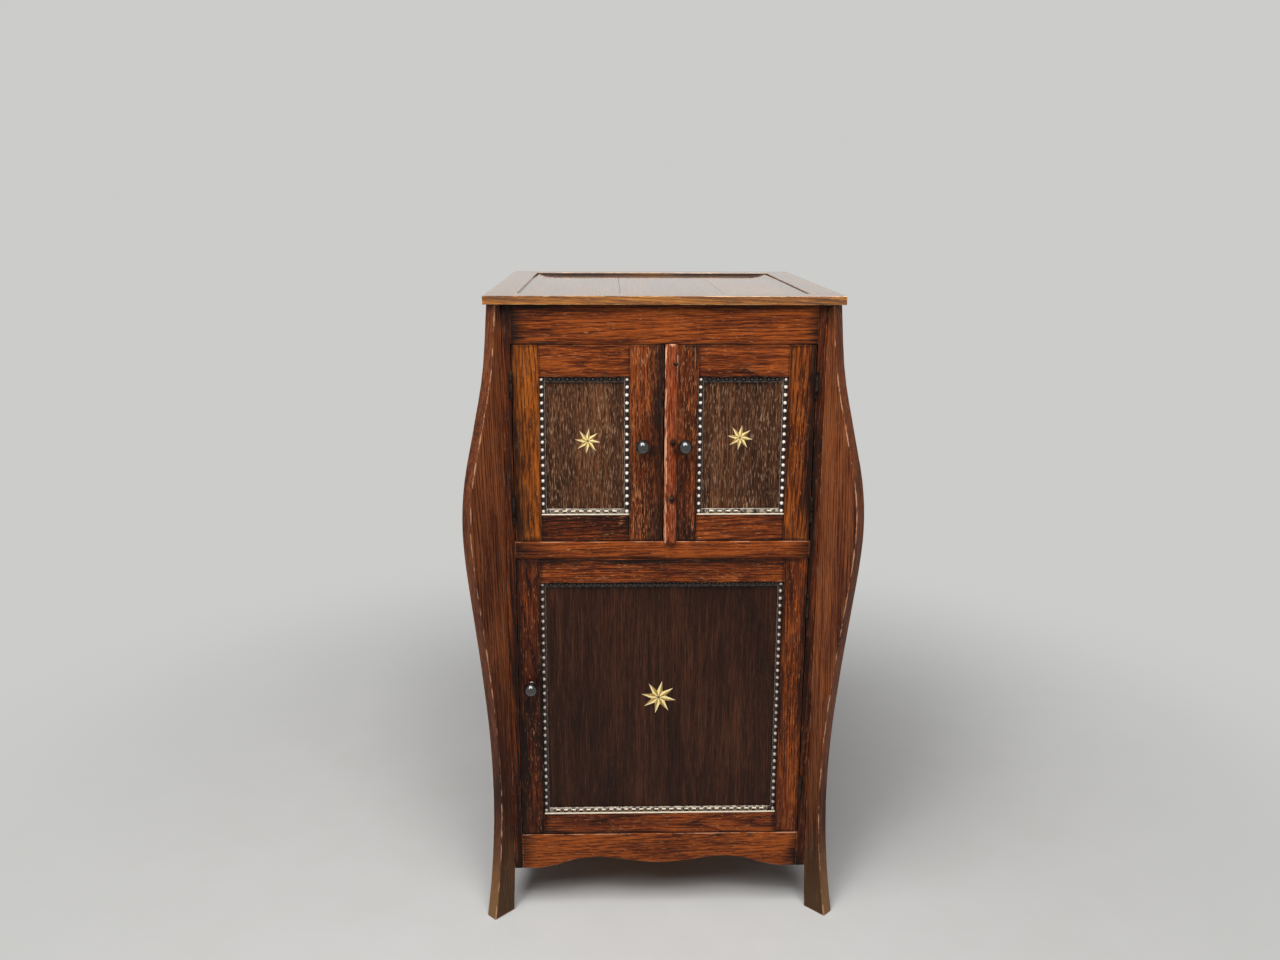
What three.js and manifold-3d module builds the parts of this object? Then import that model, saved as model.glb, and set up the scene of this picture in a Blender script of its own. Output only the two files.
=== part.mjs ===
// Floor-standing cabinet for a wind-up gramophone. Millimetres, +Z up, front towards -Y.
// The origin lies on the floor, at the centre of the cabinet's footprint.
import * as THREE from 'three';
import { mergeVertices } from 'three/addons/utils/BufferGeometryUtils.js';
import Module from 'manifold-3d';

const wasm = await Module();
wasm.setup();

// ---- driving dimensions ----
const HEIGHT = 956;
const LID = { width: 500, thickness: 12, frontOverhang: 9, rail: 43, panel: 8, tongue: 6, tongueDrop: 3,
  seatGap: 0.4, fieldGap: 0.6, jointWidth: 1 };
const CARCASS = { halfWidth: 239, halfDepth: 270, side: 25, chamfer: 14, bottom: 71 };
const GAP = 0.3; // clearance between pieces that touch
const BOARD = 19; // thickness of the front rails
const FRIEZE_BOTTOM = 889;
const MID_RAIL = { bottom: 577, top: 603 };
const APRON_TOP = 129;
const DOOR = { thickness: 18, setBack: 0.5, reveal: 1.6, gap: 1, panel: 6, panelInset: 8, tongue: 6 };
const BEAD = { pitch: 11.6, radius: 3.7, strip: 7.6, fillet: 3, sides: 5 };
const HINGE = { length: 38, radius: 2.6, proud: 3.2, leaf: 1, leafDepth: 15 };
const KNOB = { ball: 10.9, neck: 4.4, rose: 7, reach: 25 };
const LEG = { thickness: 19.8, footFlare: 4 };
const WELL_FLOOR = 846; // top of the motor board
const MOTOR_BOARD = 12;
const PLATTER = { x: -30, y: -60, radius: 127, top: 868, skirt: 12, rim: 3, sheet: 5, hub: 12, bore: 4.1,
  boardHole: 8 };
const ARM = { x: 110, y: 110, turn: 4.5, reach: 186, height: 905, radius: 11, bore: 8.5 };
const SHAFT = { y: -60, z: 786, radius: 4.5, clearance: 0.6, sideHole: 9, collar: 7, square: 5 };

const innerHalf = CARCASS.halfWidth - CARCASS.side;
const front = -CARCASS.halfDepth;
const back = CARCASS.halfDepth;
const lidUnder = HEIGHT - LID.thickness;
const carcassTop = lidUnder - LID.seatGap;

const group = new THREE.Group();

// ---- helpers ----
function toSolid(geometry) {
  const bare = geometry.clone();
  bare.deleteAttribute('normal');
  bare.deleteAttribute('uv');
  const merged = mergeVertices(bare, 1e-4);
  const vertProperties = new Float32Array(merged.attributes.position.array);
  const triVerts = new Uint32Array(merged.index.array);
  return new wasm.Manifold(new wasm.Mesh({ numProp: 3, vertProperties, triVerts }));
}

function toGeometry(solid) {
  const mesh = solid.getMesh();
  const geometry = new THREE.BufferGeometry();
  geometry.setAttribute('position', new THREE.BufferAttribute(mesh.vertProperties, 3));
  geometry.setIndex(new THREE.BufferAttribute(mesh.triVerts, 1));
  return geometry;
}

function join(...geometries) {
  const [first, ...rest] = geometries.map(toSolid);
  return toGeometry(rest.reduce((whole, piece) => whole.add(piece), first));
}

function cut(base, ...tools) {
  return toGeometry(tools.map(toSolid).reduce((left, tool) => left.subtract(tool), toSolid(base)));
}

function box([x0, x1], [y0, y1], [z0, z1]) {
  const geometry = new THREE.BoxGeometry(Math.abs(x1 - x0), Math.abs(y1 - y0), Math.abs(z1 - z0));
  return geometry.translate((x0 + x1) / 2, (y0 + y1) / 2, (z0 + z1) / 2);
}

// A round bar from one end point to the other.
function bar(start, end, radius, sides = 16, endRadius = radius) {
  const from = new THREE.Vector3(...start);
  const to = new THREE.Vector3(...end);
  const geometry = new THREE.CylinderGeometry(endRadius, radius, from.distanceTo(to), sides);
  const turn = new THREE.Quaternion().setFromUnitVectors(
    new THREE.Vector3(0, 1, 0), to.clone().sub(from).normalize());
  const middle = from.add(to).multiplyScalar(0.5);
  return geometry.applyQuaternion(turn).translate(middle.x, middle.y, middle.z);
}

// A flat outline in X and Z, thickened along Y from y0 (front) to y1 (back).
function frontBoard(shape, y0, y1) {
  const geometry = new THREE.ExtrudeGeometry(shape, { depth: y1 - y0, bevelEnabled: false });
  return geometry.rotateX(Math.PI / 2).translate(0, y1, 0);
}

// A plan outline in X and Y, raised from z0 to z1.
function planBoard(points, z0, z1) {
  const shape = new THREE.Shape(points.map(([x, y]) => new THREE.Vector2(x, y)));
  const geometry = new THREE.ExtrudeGeometry(shape, { depth: z1 - z0, bevelEnabled: false });
  return geometry.translate(0, 0, z0);
}

// Turns the faces round where they point inwards, whichever way the profile was drawn.
function outward(geometry) {
  const corner = new THREE.Vector3();
  const place = (i) => corner.fromBufferAttribute(geometry.attributes.position, i).clone();
  const { array } = geometry.index;
  let volume = 0;
  for (let i = 0; i < array.length; i += 3) {
    volume += place(array[i]).dot(place(array[i + 1]).cross(place(array[i + 2])));
  }
  if (volume < 0) geometry.setIndex([...array].reverse());
  return geometry;
}

// A turned piece: [radius, height] points, spun about the vertical axis.
function lathe(profile, sides) {
  const points = profile.map(([r, z]) => new THREE.Vector2(r, z));
  return outward(new THREE.LatheGeometry(points, sides).rotateX(Math.PI / 2));
}

const finishes = {
  oak: { color: 0x6e3a1c, roughness: 0.5, metalness: 0 },
  darkOak: { color: 0x3a2318, roughness: 0.55, metalness: 0 },
  paleEdge: { color: 0x8a5a38, roughness: 0.6, metalness: 0 },
  softwood: { color: 0x9a744c, roughness: 0.8, metalness: 0 },
  beadWood: { color: 0x5a4636, roughness: 0.35, metalness: 0 },
  inlay: { color: 0xd8bd6a, roughness: 0.45, metalness: 0 },
  ebony: { color: 0x0c0b0b, roughness: 0.15, metalness: 0 },
  steel: { color: 0x5d5a55, roughness: 0.45, metalness: 0.9 },
  nickel: { color: 0xb9b4a8, roughness: 0.25, metalness: 1 },
  brass: { color: 0xa8843c, roughness: 0.35, metalness: 1 },
  iron: { color: 0x2a2a2c, roughness: 0.6, metalness: 0.6 },
  baize: { color: 0x29492c, roughness: 0.95, metalness: 0 },
};

function add(name, geometry, finish, parent = group) {
  const mesh = new THREE.Mesh(geometry, new THREE.MeshStandardMaterial(finishes[finish]));
  mesh.name = name;
  parent.add(mesh);
  return mesh;
}

// ---- carcass ----
// Half of the shaped lower edge, from the middle outwards: [distance from the middle, height].
const shapedEdge = [[0, 79], [40, 82], [75, 87.5], [105, 89], [132, 85.5], [158, 77], [184, 71.4]];

function shapedBoard(half, edgeScale, top) {
  const outline = shapedEdge.map(([x, z]) => new THREE.Vector2(x * edgeScale, z));
  const mirrored = outline.slice(1).reverse().map((p) => new THREE.Vector2(-p.x, p.y));
  const curve = new THREE.SplineCurve([...mirrored, ...outline]).getPoints(36);
  const corners = [[half, CARCASS.bottom], [half, top], [-half, top], [-half, CARCASS.bottom]];
  return new THREE.Shape([...curve, ...corners.map(([x, z]) => new THREE.Vector2(x, z))]);
}

// The side board's plan has both outer corners cut off at 45 degrees, where the legs are fixed.
function sideBoard() {
  const outer = CARCASS.halfWidth;
  const shoulder = outer - CARCASS.chamfer;
  const plan = [[innerHalf, front], [shoulder, front], [outer, front + CARCASS.chamfer],
    [outer, back - CARCASS.chamfer], [shoulder, back], [innerHalf, back]];
  const board = planBoard(plan, CARCASS.bottom - 1, carcassTop);
  const stretch = CARCASS.halfDepth / innerHalf;
  const profile = shapedBoard(CARCASS.halfDepth + 1, stretch, carcassTop + 1);
  const edge = frontBoard(profile, -outer - 1, -innerHalf + 1);
  edge.rotateZ(Math.PI / 2);
  return toGeometry(toSolid(board).intersect(toSolid(edge)));
}

const rightSide = cut(sideBoard(),
  bar([innerHalf - 5, SHAFT.y, SHAFT.z], [CARCASS.halfWidth + 5, SHAFT.y, SHAFT.z], SHAFT.sideHole));
const leftSide = sideBoard().rotateZ(Math.PI);
add('side_board_left', leftSide, 'oak');
add('side_board_right', rightSide, 'oak');

const railHalf = innerHalf - GAP;
const railBack = front + BOARD;
add('frieze_rail', box([-railHalf, railHalf], [front, railBack], [FRIEZE_BOTTOM, carcassTop]), 'oak');
add('mid_rail', box([-railHalf, railHalf], [front, railBack], [MID_RAIL.bottom, MID_RAIL.top]), 'oak');
add('front_apron', frontBoard(shapedBoard(railHalf, 1, APRON_TOP), front, railBack), 'oak');

const insideFront = railBack + GAP;
const backPanel = [back - 8, back - 2];
const insideBack = backPanel[0] - GAP;
add('back_panel', box([-railHalf, railHalf], backPanel, [CARCASS.bottom, carcassTop]), 'softwood');
add('bottom_board', box([-railHalf, railHalf], [insideFront, insideBack], [APRON_TOP - 12, APRON_TOP]),
  'softwood');
add('mid_shelf', box([-railHalf, railHalf], [insideFront, insideBack], [MID_RAIL.bottom + 8, 600]),
  'softwood');

const RECORD_SHELF = [460, 470];
add('record_shelf', box([-railHalf, railHalf], [railBack + 25, insideBack], RECORD_SHELF), 'softwood');
add('record_divider', box([-4, 4], [railBack + 35, insideBack], [APRON_TOP + GAP, RECORD_SHELF[0] - GAP]),
  'softwood');

// ---- legs ----
// The bowed outline: [height, reach beyond the chamfer], measured square to the carcass faces.
const bow = [[0, 30.5], [60, 23.8], [130, 19], [205, 17.2], [300, 19.8], [400, 27], [500, 36.4],
  [580, 43.8], [640, 46], [700, 41.5], [770, 28.7], [850, 14.8], [carcassTop, 7.8]];

function legGeometry() {
  const diagonal = (reach) => reach * Math.SQRT2;
  const outer = new THREE.SplineCurve(bow.map(([z, reach]) => new THREE.Vector2(diagonal(reach), z)));
  const inner = [[GAP, carcassTop], [GAP, CARCASS.bottom], [LEG.footFlare, 0]];
  const outline = [...outer.getPoints(40), ...inner.map(([u, z]) => new THREE.Vector2(u, z))];
  const shape = new THREE.Shape(outline);
  const geometry = new THREE.ExtrudeGeometry(shape, { depth: LEG.thickness, bevelEnabled: false });
  return geometry.translate(0, 0, -LEG.thickness / 2).rotateX(Math.PI / 2);
}

const legCorners = [
  ['front_left', -1, -1], ['front_right', 1, -1], ['back_right', 1, 1], ['back_left', -1, 1]];
for (const [corner, sideX, sideY] of legCorners) {
  const leg = add(`leg_${corner}`, legGeometry(), 'oak');
  leg.rotation.z = Math.atan2(sideY, sideX);
  leg.position.x = sideX * (CARCASS.halfWidth - CARCASS.chamfer / 2);
  leg.position.y = sideY * (CARCASS.halfDepth - CARCASS.chamfer / 2);
}

// ---- lid ----
const lidFront = front - LID.frontOverhang;
const lidBack = back;
const lidHalf = LID.width / 2;
const lidInnerHalf = lidHalf - LID.rail;
const lidSpan = [lidUnder, HEIGHT];
const panelTop = HEIGHT - 1;
const panelBottom = panelTop - LID.panel;
const lidOpening = [[-lidInnerHalf, lidInnerHalf], [lidFront + LID.rail, lidBack - LID.rail]];
const tongue = (span, extra) => [span[0] - extra, span[1] + extra];
const panelGroove = box(tongue(lidOpening[0], LID.tongue + GAP), tongue(lidOpening[1], LID.tongue + GAP),
  [panelBottom - GAP, panelTop - LID.tongueDrop + GAP]);

add('lid_front_rail', cut(box([-lidHalf, lidHalf], [lidFront, lidFront + LID.rail], lidSpan), panelGroove),
  'oak');
add('lid_back_rail', cut(box([-lidHalf, lidHalf], [lidBack - LID.rail, lidBack], lidSpan), panelGroove),
  'oak');
for (const [name, side] of [['left', -1], ['right', 1]]) {
  const rail = box([side * lidInnerHalf, side * lidHalf], tongue(lidOpening[1], -GAP), lidSpan);
  add(`lid_${name}_rail`, cut(rail, panelGroove), 'oak');
}

const lidTongue = box(tongue(lidOpening[0], LID.tongue), tongue(lidOpening[1], LID.tongue),
  [panelBottom, panelTop - LID.tongueDrop]);
const lidField = box(tongue(lidOpening[0], -LID.fieldGap), tongue(lidOpening[1], -LID.fieldGap),
  [panelBottom, panelTop]);
const boardJoints = [-62, 85].map((x) => box([x, x + LID.jointWidth], [lidFront, lidBack],
  [panelTop - LID.jointWidth, panelTop + 1]));
add('lid_panel', cut(join(lidTongue, lidField), ...boardJoints), 'oak');

const LID_HINGE = { half: 200, y: back + 3.9, z: lidUnder, radius: 2.6, leaf: 1.2, depth: 22, knuckles: 5 };
const leafY = [back + GAP, back + GAP + LID_HINGE.leaf];
const knuckle = (2 * LID_HINGE.half) / LID_HINGE.knuckles;
const knuckleGap = 0.5;

function hingeKnuckles(indices) {
  return indices.map((index) => {
    const start = -LID_HINGE.half + index * knuckle;
    return bar([start + knuckleGap, LID_HINGE.y, LID_HINGE.z],
      [start + knuckle - knuckleGap, LID_HINGE.y, LID_HINGE.z], LID_HINGE.radius, 12);
  });
}

// Room in one leaf for the knuckles of the other.
const knuckleRoom = LID_HINGE.radius + knuckleGap;
const clearKnuckles = (indices) => indices.map((index) => {
  const start = -LID_HINGE.half + index * knuckle;
  return box([start - knuckleGap, start + knuckle + knuckleGap], [back, LID_HINGE.y + knuckleRoom],
    [LID_HINGE.z - knuckleRoom, LID_HINGE.z + knuckleRoom]);
});
const hingeSpan = [-LID_HINGE.half, LID_HINGE.half];
add('lid_hinge_fixed_leaf', join(
  cut(box(hingeSpan, leafY, [LID_HINGE.z - LID_HINGE.depth, LID_HINGE.z - GAP]), ...clearKnuckles([1, 3])),
  ...hingeKnuckles([0, 2, 4])), 'brass');
add('lid_hinge_moving_leaf', join(
  cut(box(hingeSpan, leafY, [LID_HINGE.z + GAP, HEIGHT - 1.5]), ...clearKnuckles([0, 2, 4])),
  ...hingeKnuckles([1, 3])), 'brass');

// The quadrant stay is an arc about the lid hinge, so that it slides past one point as the lid lifts.
const STAY = { radius: 90, width: 9, x: 206, thickness: 2, end: 78, plate: 28, drop: 1.5 };
function lidStay() {
  const shape = new THREE.Shape();
  const start = -Math.PI;
  const end = start + THREE.MathUtils.degToRad(STAY.end);
  shape.absarc(0, 0, STAY.radius + STAY.width / 2, start, end, false);
  shape.absarc(0, 0, STAY.radius - STAY.width / 2, end, start, true);
  const arc = new THREE.ExtrudeGeometry(shape,
    { depth: STAY.thickness, bevelEnabled: false, curveSegments: 14 });
  arc.rotateX(Math.PI / 2).rotateZ(Math.PI / 2);
  arc.translate(STAY.x, LID_HINGE.y, lidUnder - STAY.drop);
  const plateY = LID_HINGE.y - STAY.radius;
  const plate = box([STAY.x - STAY.plate / 2, STAY.x + STAY.thickness],
    [plateY - STAY.plate / 2, plateY + STAY.plate / 2], [lidUnder - STAY.thickness, lidUnder - GAP]);
  return join(arc, plate);
}
add('lid_stay', lidStay(), 'brass');

// ---- doors ----
function knobGeometry() {
  const profile = [[0, 0], [KNOB.rose, 0], [KNOB.rose, 1.6], [KNOB.neck, 3.4], [KNOB.neck, 6]];
  const ballCentre = KNOB.reach - KNOB.ball;
  for (let step = 0; step <= 4; step += 1) {
    const angle = THREE.MathUtils.degToRad(-58 + step * 37);
    profile.push([Math.max(0, KNOB.ball * Math.cos(angle)), ballCentre + KNOB.ball * Math.sin(angle)]);
  }
  profile[profile.length - 1] = [0, KNOB.reach];
  return lathe(profile, 14).rotateX(Math.PI / 2);
}

function starGeometry(radius, turn) {
  const shape = new THREE.Shape();
  for (let point = 0; point < 16; point += 1) {
    const reach = point % 2 === 0 ? radius : radius * 0.4;
    const angle = turn + (point * Math.PI) / 8;
    const place = [reach * Math.cos(angle), reach * Math.sin(angle)];
    if (point === 0) shape.moveTo(...place);
    else shape.lineTo(...place);
  }
  return frontBoard(shape, -0.8, 0);
}

// One pearl: a low five-sided dome that stands on the strip and points to the front.
function pearl(x, y, z) {
  const { radius, sides } = BEAD;
  const profile = [[0, -0.6], [radius, -0.6], [radius, 1.5], [0, radius]];
  return lathe(profile, sides).rotateX(Math.PI / 2).translate(x, y, z);
}

function beadFrame([x0, x1], [z0, z1], panelFace) {
  const strip = [panelFace - GAP - BEAD.fillet, panelFace - GAP];
  const inset = (span, by) => [Math.min(...span) + by, Math.max(...span) - by];
  const outer = box(inset([x0, x1], GAP), strip, inset([z0, z1], GAP));
  const hole = box(inset([x0, x1], GAP + BEAD.strip), [strip[0] - 1, strip[1] + 1],
    inset([z0, z1], GAP + BEAD.strip));
  const [left, right] = inset([x0, x1], GAP + BEAD.strip / 2);
  const [low, high] = inset([z0, z1], GAP + BEAD.strip / 2);
  const columnCount = Math.round((high - low) / BEAD.pitch);
  const rowCount = Math.round((right - left) / BEAD.pitch);
  const pearls = [];
  for (let index = 0; index <= columnCount; index += 1) {
    const z = low + ((high - low) * index) / columnCount;
    pearls.push(pearl(left, strip[0], z), pearl(right, strip[0], z));
  }
  for (let index = 1; index < rowCount; index += 1) {
    const x = left + ((right - left) * index) / rowCount;
    pearls.push(pearl(x, strip[0], low), pearl(x, strip[0], high));
  }
  return join(cut(outer, hole), ...pearls);
}

// A door hangs in a group whose origin is its hinge line; `way` is +1 when it reaches towards +X.
function door(spec) {
  const { name, way, width, bottom, top, stiles, rails, star, knob, hinges } = spec;
  const leaf = new THREE.Group();
  leaf.position.set(-way * innerHalf, front - HINGE.proud, 0);
  group.add(leaf);
  const face = HINGE.proud + DOOR.setBack;
  const depth = [face, face + DOOR.thickness];
  const across = [way * DOOR.reveal, way * width];
  const opening = [way * (DOOR.reveal + stiles[0]), way * (width - stiles[1])];
  const height = [bottom + rails[0], top - rails[1]];
  const panelFace = face + DOOR.panelInset;
  const grow = (span, by) => [Math.min(...span) - by, Math.max(...span) + by];
  const panelSpan = [panelFace, panelFace + DOOR.panel];
  const frame = cut(box(across, depth, [bottom, top]),
    box(opening, [depth[0] - 1, depth[1] + 1], height),
    box(grow(opening, DOOR.tongue + GAP), grow(panelSpan, GAP), grow(height, DOOR.tongue + GAP)));
  add(`${name}_frame`, frame, 'oak', leaf);
  const board = box(grow(opening, DOOR.tongue), panelSpan, grow(height, DOOR.tongue));
  add(`${name}_panel`, board, 'darkOak', leaf);
  add(`${name}_beading`, beadFrame(opening, height, panelFace), 'beadWood', leaf);
  const inlay = add(`${name}_star`, starGeometry(star.radius, star.turn), 'inlay', leaf);
  inlay.position.set(way * star.x, panelFace - GAP, star.z);
  const handle = add(`${name}_knob`, knobGeometry(), 'ebony', leaf);
  handle.position.set(way * knob.x, face - GAP, knob.z);
  for (const [label, z] of hinges) {
    const plate = box([way * GAP, way * (GAP + HINGE.leaf)], [HINGE.radius / 2, face + HINGE.leafDepth],
      [z - HINGE.length / 2, z + HINGE.length / 2]);
    const barrel = bar([0, 0, z - HINGE.length / 2], [0, 0, z + HINGE.length / 2], HINGE.radius, 12);
    add(`${name}_${label}_hinge`, join(plate, barrel), 'steel', leaf);
  }
  return leaf;
}

const doorWidth = innerHalf - DOOR.gap;
const upper = { bottom: MID_RAIL.top + 1, top: FRIEZE_BOTTOM - 1, width: doorWidth, stiles: [37, 47],
  rails: [39, 45], hinges: [['lower', 651], ['upper', 832]], knob: { x: 184, z: 746 } };
door({ ...upper, name: 'upper_left_door', way: 1, star: { x: 106, z: 750.5, radius: 18.5, turn: 0.28 } });
const rightDoor = door({ ...upper, name: 'upper_right_door', way: -1,
  star: { x: 105, z: 755, radius: 18.5, turn: 0.24 } });
door({ name: 'lower_door', way: -1, bottom: APRON_TOP + 1, top: MID_RAIL.bottom - 1,
  width: 2 * innerHalf - DOOR.gap, stiles: [34, 34], rails: [34, 36],
  hinges: [['lower', 207], ['upper', 503]], knob: { x: 408.3, z: 378.5 },
  star: { x: 218, z: 355, radius: 26.5, turn: 0.2 } });

// The astragal covers the meeting line of the upper doors and is screwed to the right one.
const ASTRAGAL = { width: 18, depth: 8, shoulder: 4, bottom: 602.5, top: 889.5 };
function astragal() {
  const shape = new THREE.Shape();
  const face = front - GAP;
  const crown = face - ASTRAGAL.depth;
  const left = DOOR.gap;
  const right = left + ASTRAGAL.width;
  shape.moveTo(left, face);
  shape.lineTo(left, face - ASTRAGAL.shoulder);
  shape.quadraticCurveTo(left + 1, crown, (left + right) / 2, crown);
  shape.quadraticCurveTo(right - 1, crown, right, face - ASTRAGAL.shoulder);
  shape.lineTo(right, face);
  return new THREE.ExtrudeGeometry(shape,
    { depth: ASTRAGAL.top - ASTRAGAL.bottom, bevelEnabled: false, curveSegments: 5 });
}
const cover = add('astragal', astragal(), 'paleEdge', rightDoor);
cover.position.set(-rightDoor.position.x, -rightDoor.position.y, ASTRAGAL.bottom);

// ---- horn and motor board ----
const mouthBoard = [insideFront, insideFront + 8];
const hornFront = mouthBoard[1] + GAP;
const MOUTH = { half: 195, bottom: 618, top: 822 };
const mouthOpening = box([-MOUTH.half, MOUTH.half], [mouthBoard[0] - 1, mouthBoard[1] + 1],
  [MOUTH.bottom, MOUTH.top]);
add('horn_mouth_board', cut(
  box([-railHalf, railHalf], mouthBoard, [MID_RAIL.top, carcassTop]), mouthOpening), 'darkOak');

const THROAT = { radius: 18.5, bore: 15, z: 662 };
const upright = ({ x, y }, bottom, top, radius, sides = 16) =>
  bar([x, y, bottom], [x, y, top], radius, sides);
const boardBottom = WELL_FLOOR - MOTOR_BOARD;
add('motor_board', cut(
  box([-railHalf, railHalf], [hornFront, insideBack], [boardBottom, WELL_FLOOR]),
  upright(PLATTER, boardBottom - 5, WELL_FLOOR + 5, PLATTER.boardHole),
  upright(ARM, boardBottom - 5, WELL_FLOOR + 5, THROAT.radius + 0.5)), 'oak');

// Sections of the horn's air passage: y, middle x, middle z, width, height.
const hornSections = [
  [hornFront, 0, (MOUTH.bottom + MOUTH.top) / 2, 2 * MOUTH.half, MOUTH.top - MOUTH.bottom],
  [-124, 8, 668, 300, 96], [-20, 55, THROAT.z, 190, 84], [60, ARM.x, THROAT.z, 84, 66]];
const HORN_WALL = 5;

// A rectangular tube lofted through the sections; both ends stay open.
function lofted(sections, grow, extend) {
  const positions = [];
  const ring = sections.map(([y, x, z, width, height], index) => {
    const reach = index === 0 ? -extend : index === sections.length - 1 ? extend : 0;
    const w = width / 2 + grow;
    const h = height / 2 + grow;
    return [[x - w, z - h], [x + w, z - h], [x + w, z + h], [x - w, z + h]].map(([px, pz]) =>
      positions.push(px, y + reach, pz) / 3 - 1);
  });
  const index = [];
  const quad = (a, b, c, d) => index.push(a, b, c, a, c, d);
  for (let s = 0; s < ring.length - 1; s += 1) {
    for (let side = 0; side < 4; side += 1) {
      const next = (side + 1) % 4;
      quad(ring[s][side], ring[s][next], ring[s + 1][next], ring[s + 1][side]);
    }
  }
  quad(...[...ring[0]].reverse());
  quad(...ring[ring.length - 1]);
  const geometry = new THREE.BufferGeometry();
  geometry.setAttribute('position', new THREE.Float32BufferAttribute(positions, 3));
  geometry.setIndex(index);
  return outward(geometry);
}
add('horn', cut(lofted(hornSections, HORN_WALL, 0), lofted(hornSections, 0, 0.5)), 'softwood');

// The throat: a round tube that turns up from the horn's small end to the tone arm.
function roundTube(points, radius, bore, steps, sides = 12) {
  const section = new THREE.Shape().absarc(0, 0, radius, 0, Math.PI * 2, false);
  section.holes.push(new THREE.Path().absarc(0, 0, bore, 0, Math.PI * 2, true));
  const path = new THREE.CatmullRomCurve3(points.map((p) => new THREE.Vector3(...p)));
  return new THREE.ExtrudeGeometry(section,
    { extrudePath: path, steps, bevelEnabled: false, curveSegments: sides });
}
const throatFlange = { y: [61, 65], halfWidth: 46, z: [624, 700] };
const flangeHole = bar([ARM.x, throatFlange.y[0] - 1, THROAT.z], [ARM.x, throatFlange.y[1] + 1, THROAT.z],
  THROAT.bore + 2, 24);
const throatPath = [[ARM.x, 64, THROAT.z], [ARM.x, 84, 664], [ARM.x, 104, 682], [ARM.x, ARM.y, 712],
  [ARM.x, ARM.y, 790], [ARM.x, ARM.y, WELL_FLOOR - GAP]];
add('horn_throat', join(
  cut(box([ARM.x - throatFlange.halfWidth, ARM.x + throatFlange.halfWidth], throatFlange.y, throatFlange.z),
    flangeHole),
  roundTube(throatPath, THROAT.radius, THROAT.bore, 11, 6)), 'iron');

// ---- spring motor ----
const MOTOR = { x: [-85, 62], y: [-112, -8], top: [826, 830], low: [728.5, 732], post: 4, postInset: 6 };
const BARREL = { x: [-12, 46], radius: 34, tooth: 2 };
const PINION_TEETH = 10;
const CROWN_TEETH = 24;
const WORM_WHEEL_TEETH = 16;
const GOVERNOR = { x: PLATTER.x - 24, z: 740.5, y: [MOTOR.y[0] + 4.5, MOTOR.y[1] - 4.5], lug: 3, axle: 2,
  worm: 4.4, disc: 8.2, collar: 4.6, weight: 3.4, weightReach: 4.8 };

function motorFrame() {
  const top = cut(box(MOTOR.x, MOTOR.y, MOTOR.top),
    upright(PLATTER, MOTOR.top[0] - 5, MOTOR.top[1] + 5, PLATTER.bore + 1));
  const low = box(MOTOR.x, MOTOR.y, MOTOR.low);
  const posts = [];
  for (const x of [MOTOR.x[0] + MOTOR.postInset, MOTOR.x[1] - MOTOR.postInset]) {
    for (const y of [MOTOR.y[0] + MOTOR.postInset, MOTOR.y[1] - MOTOR.postInset]) {
      posts.push(upright({ x, y }, MOTOR.low[1] - 1, boardBottom - GAP, MOTOR.post, 10));
    }
  }
  const cheekX = [BARREL.x[1] + 4, BARREL.x[1] + 8];
  const cheek = cut(box(cheekX, [SHAFT.y - 14, SHAFT.y + 14], [MOTOR.low[1] - 1, MOTOR.top[0] + 1]),
    bar([cheekX[0] - 1, SHAFT.y, SHAFT.z], [cheekX[1] + 1, SHAFT.y, SHAFT.z],
      SHAFT.radius + SHAFT.clearance));
  // The two lugs in which the governor turns.
  const lugs = [MOTOR.y[0] + 1, MOTOR.y[1] - 1 - GOVERNOR.lug].map((y) =>
    box([GOVERNOR.x - 6, GOVERNOR.x + 6], [y, y + GOVERNOR.lug], [MOTOR.low[1] - 1, GOVERNOR.z + 9.5]));
  return join(top, low, ...posts, cheek, ...lugs);
}
add('motor_frame', motorFrame(), 'iron');

function toothedWheel(teeth, root, tip, z0, z1) {
  const points = [];
  for (let tooth = 0; tooth < teeth; tooth += 1) {
    for (const [offset, radius] of [[0, root], [0.2, root], [0.4, tip], [0.8, tip]]) {
      const angle = ((tooth + offset) * Math.PI * 2) / teeth;
      points.push([radius * Math.cos(angle), radius * Math.sin(angle)]);
    }
  }
  return planBoard(points, z0, z1);
}

function spindle() {
  const shaft = lathe([[0, 733], [3.7, 733], [3.7, 876], [2, 880], [0, 880]], 12);
  const pinion = toothedWheel(PINION_TEETH, 11.2, 13.6, 746, 757);
  const wormWheel = toothedWheel(WORM_WHEEL_TEETH, 17.4, 19, 738, 743);
  return join(shaft, pinion, wormWheel);
}
const spindleMesh = add('spindle', spindle(), 'nickel');
spindleMesh.position.set(PLATTER.x, PLATTER.y, 0);

function platter() {
  const { radius, top, skirt, rim, sheet, hub, bore } = PLATTER;
  const hubBottom = top - 16;
  const profile = [[bore, top], [radius - rim, top], [radius, top - 2], [radius, top - skirt],
    [radius - rim, top - skirt], [radius - rim, top - sheet], [hub + 2, top - sheet], [hub, hubBottom],
    [bore, hubBottom], [bore, top]];
  return lathe(profile, 36);
}
const turntable = add('turntable', platter(), 'baize');
turntable.position.set(PLATTER.x, PLATTER.y, 0);

function springBarrel() {
  const bore = SHAFT.radius + SHAFT.clearance;
  const { radius, tooth } = BARREL;
  const length = BARREL.x[1] - BARREL.x[0] - 4;
  const drum = lathe([[bore, 0], [radius, 0], [radius, length], [bore, length], [bore, 0]], 24);
  const crown = cut(toothedWheel(CROWN_TEETH, radius, radius + tooth, -4, 2),
    upright({ x: 0, y: 0 }, -6, 4, radius - 6, 20));
  return join(drum, crown);
}
const barrel = add('spring_barrel', springBarrel(), 'brass');
barrel.rotation.y = Math.PI / 2;
barrel.position.set(BARREL.x[0], SHAFT.y, SHAFT.z);

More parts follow.
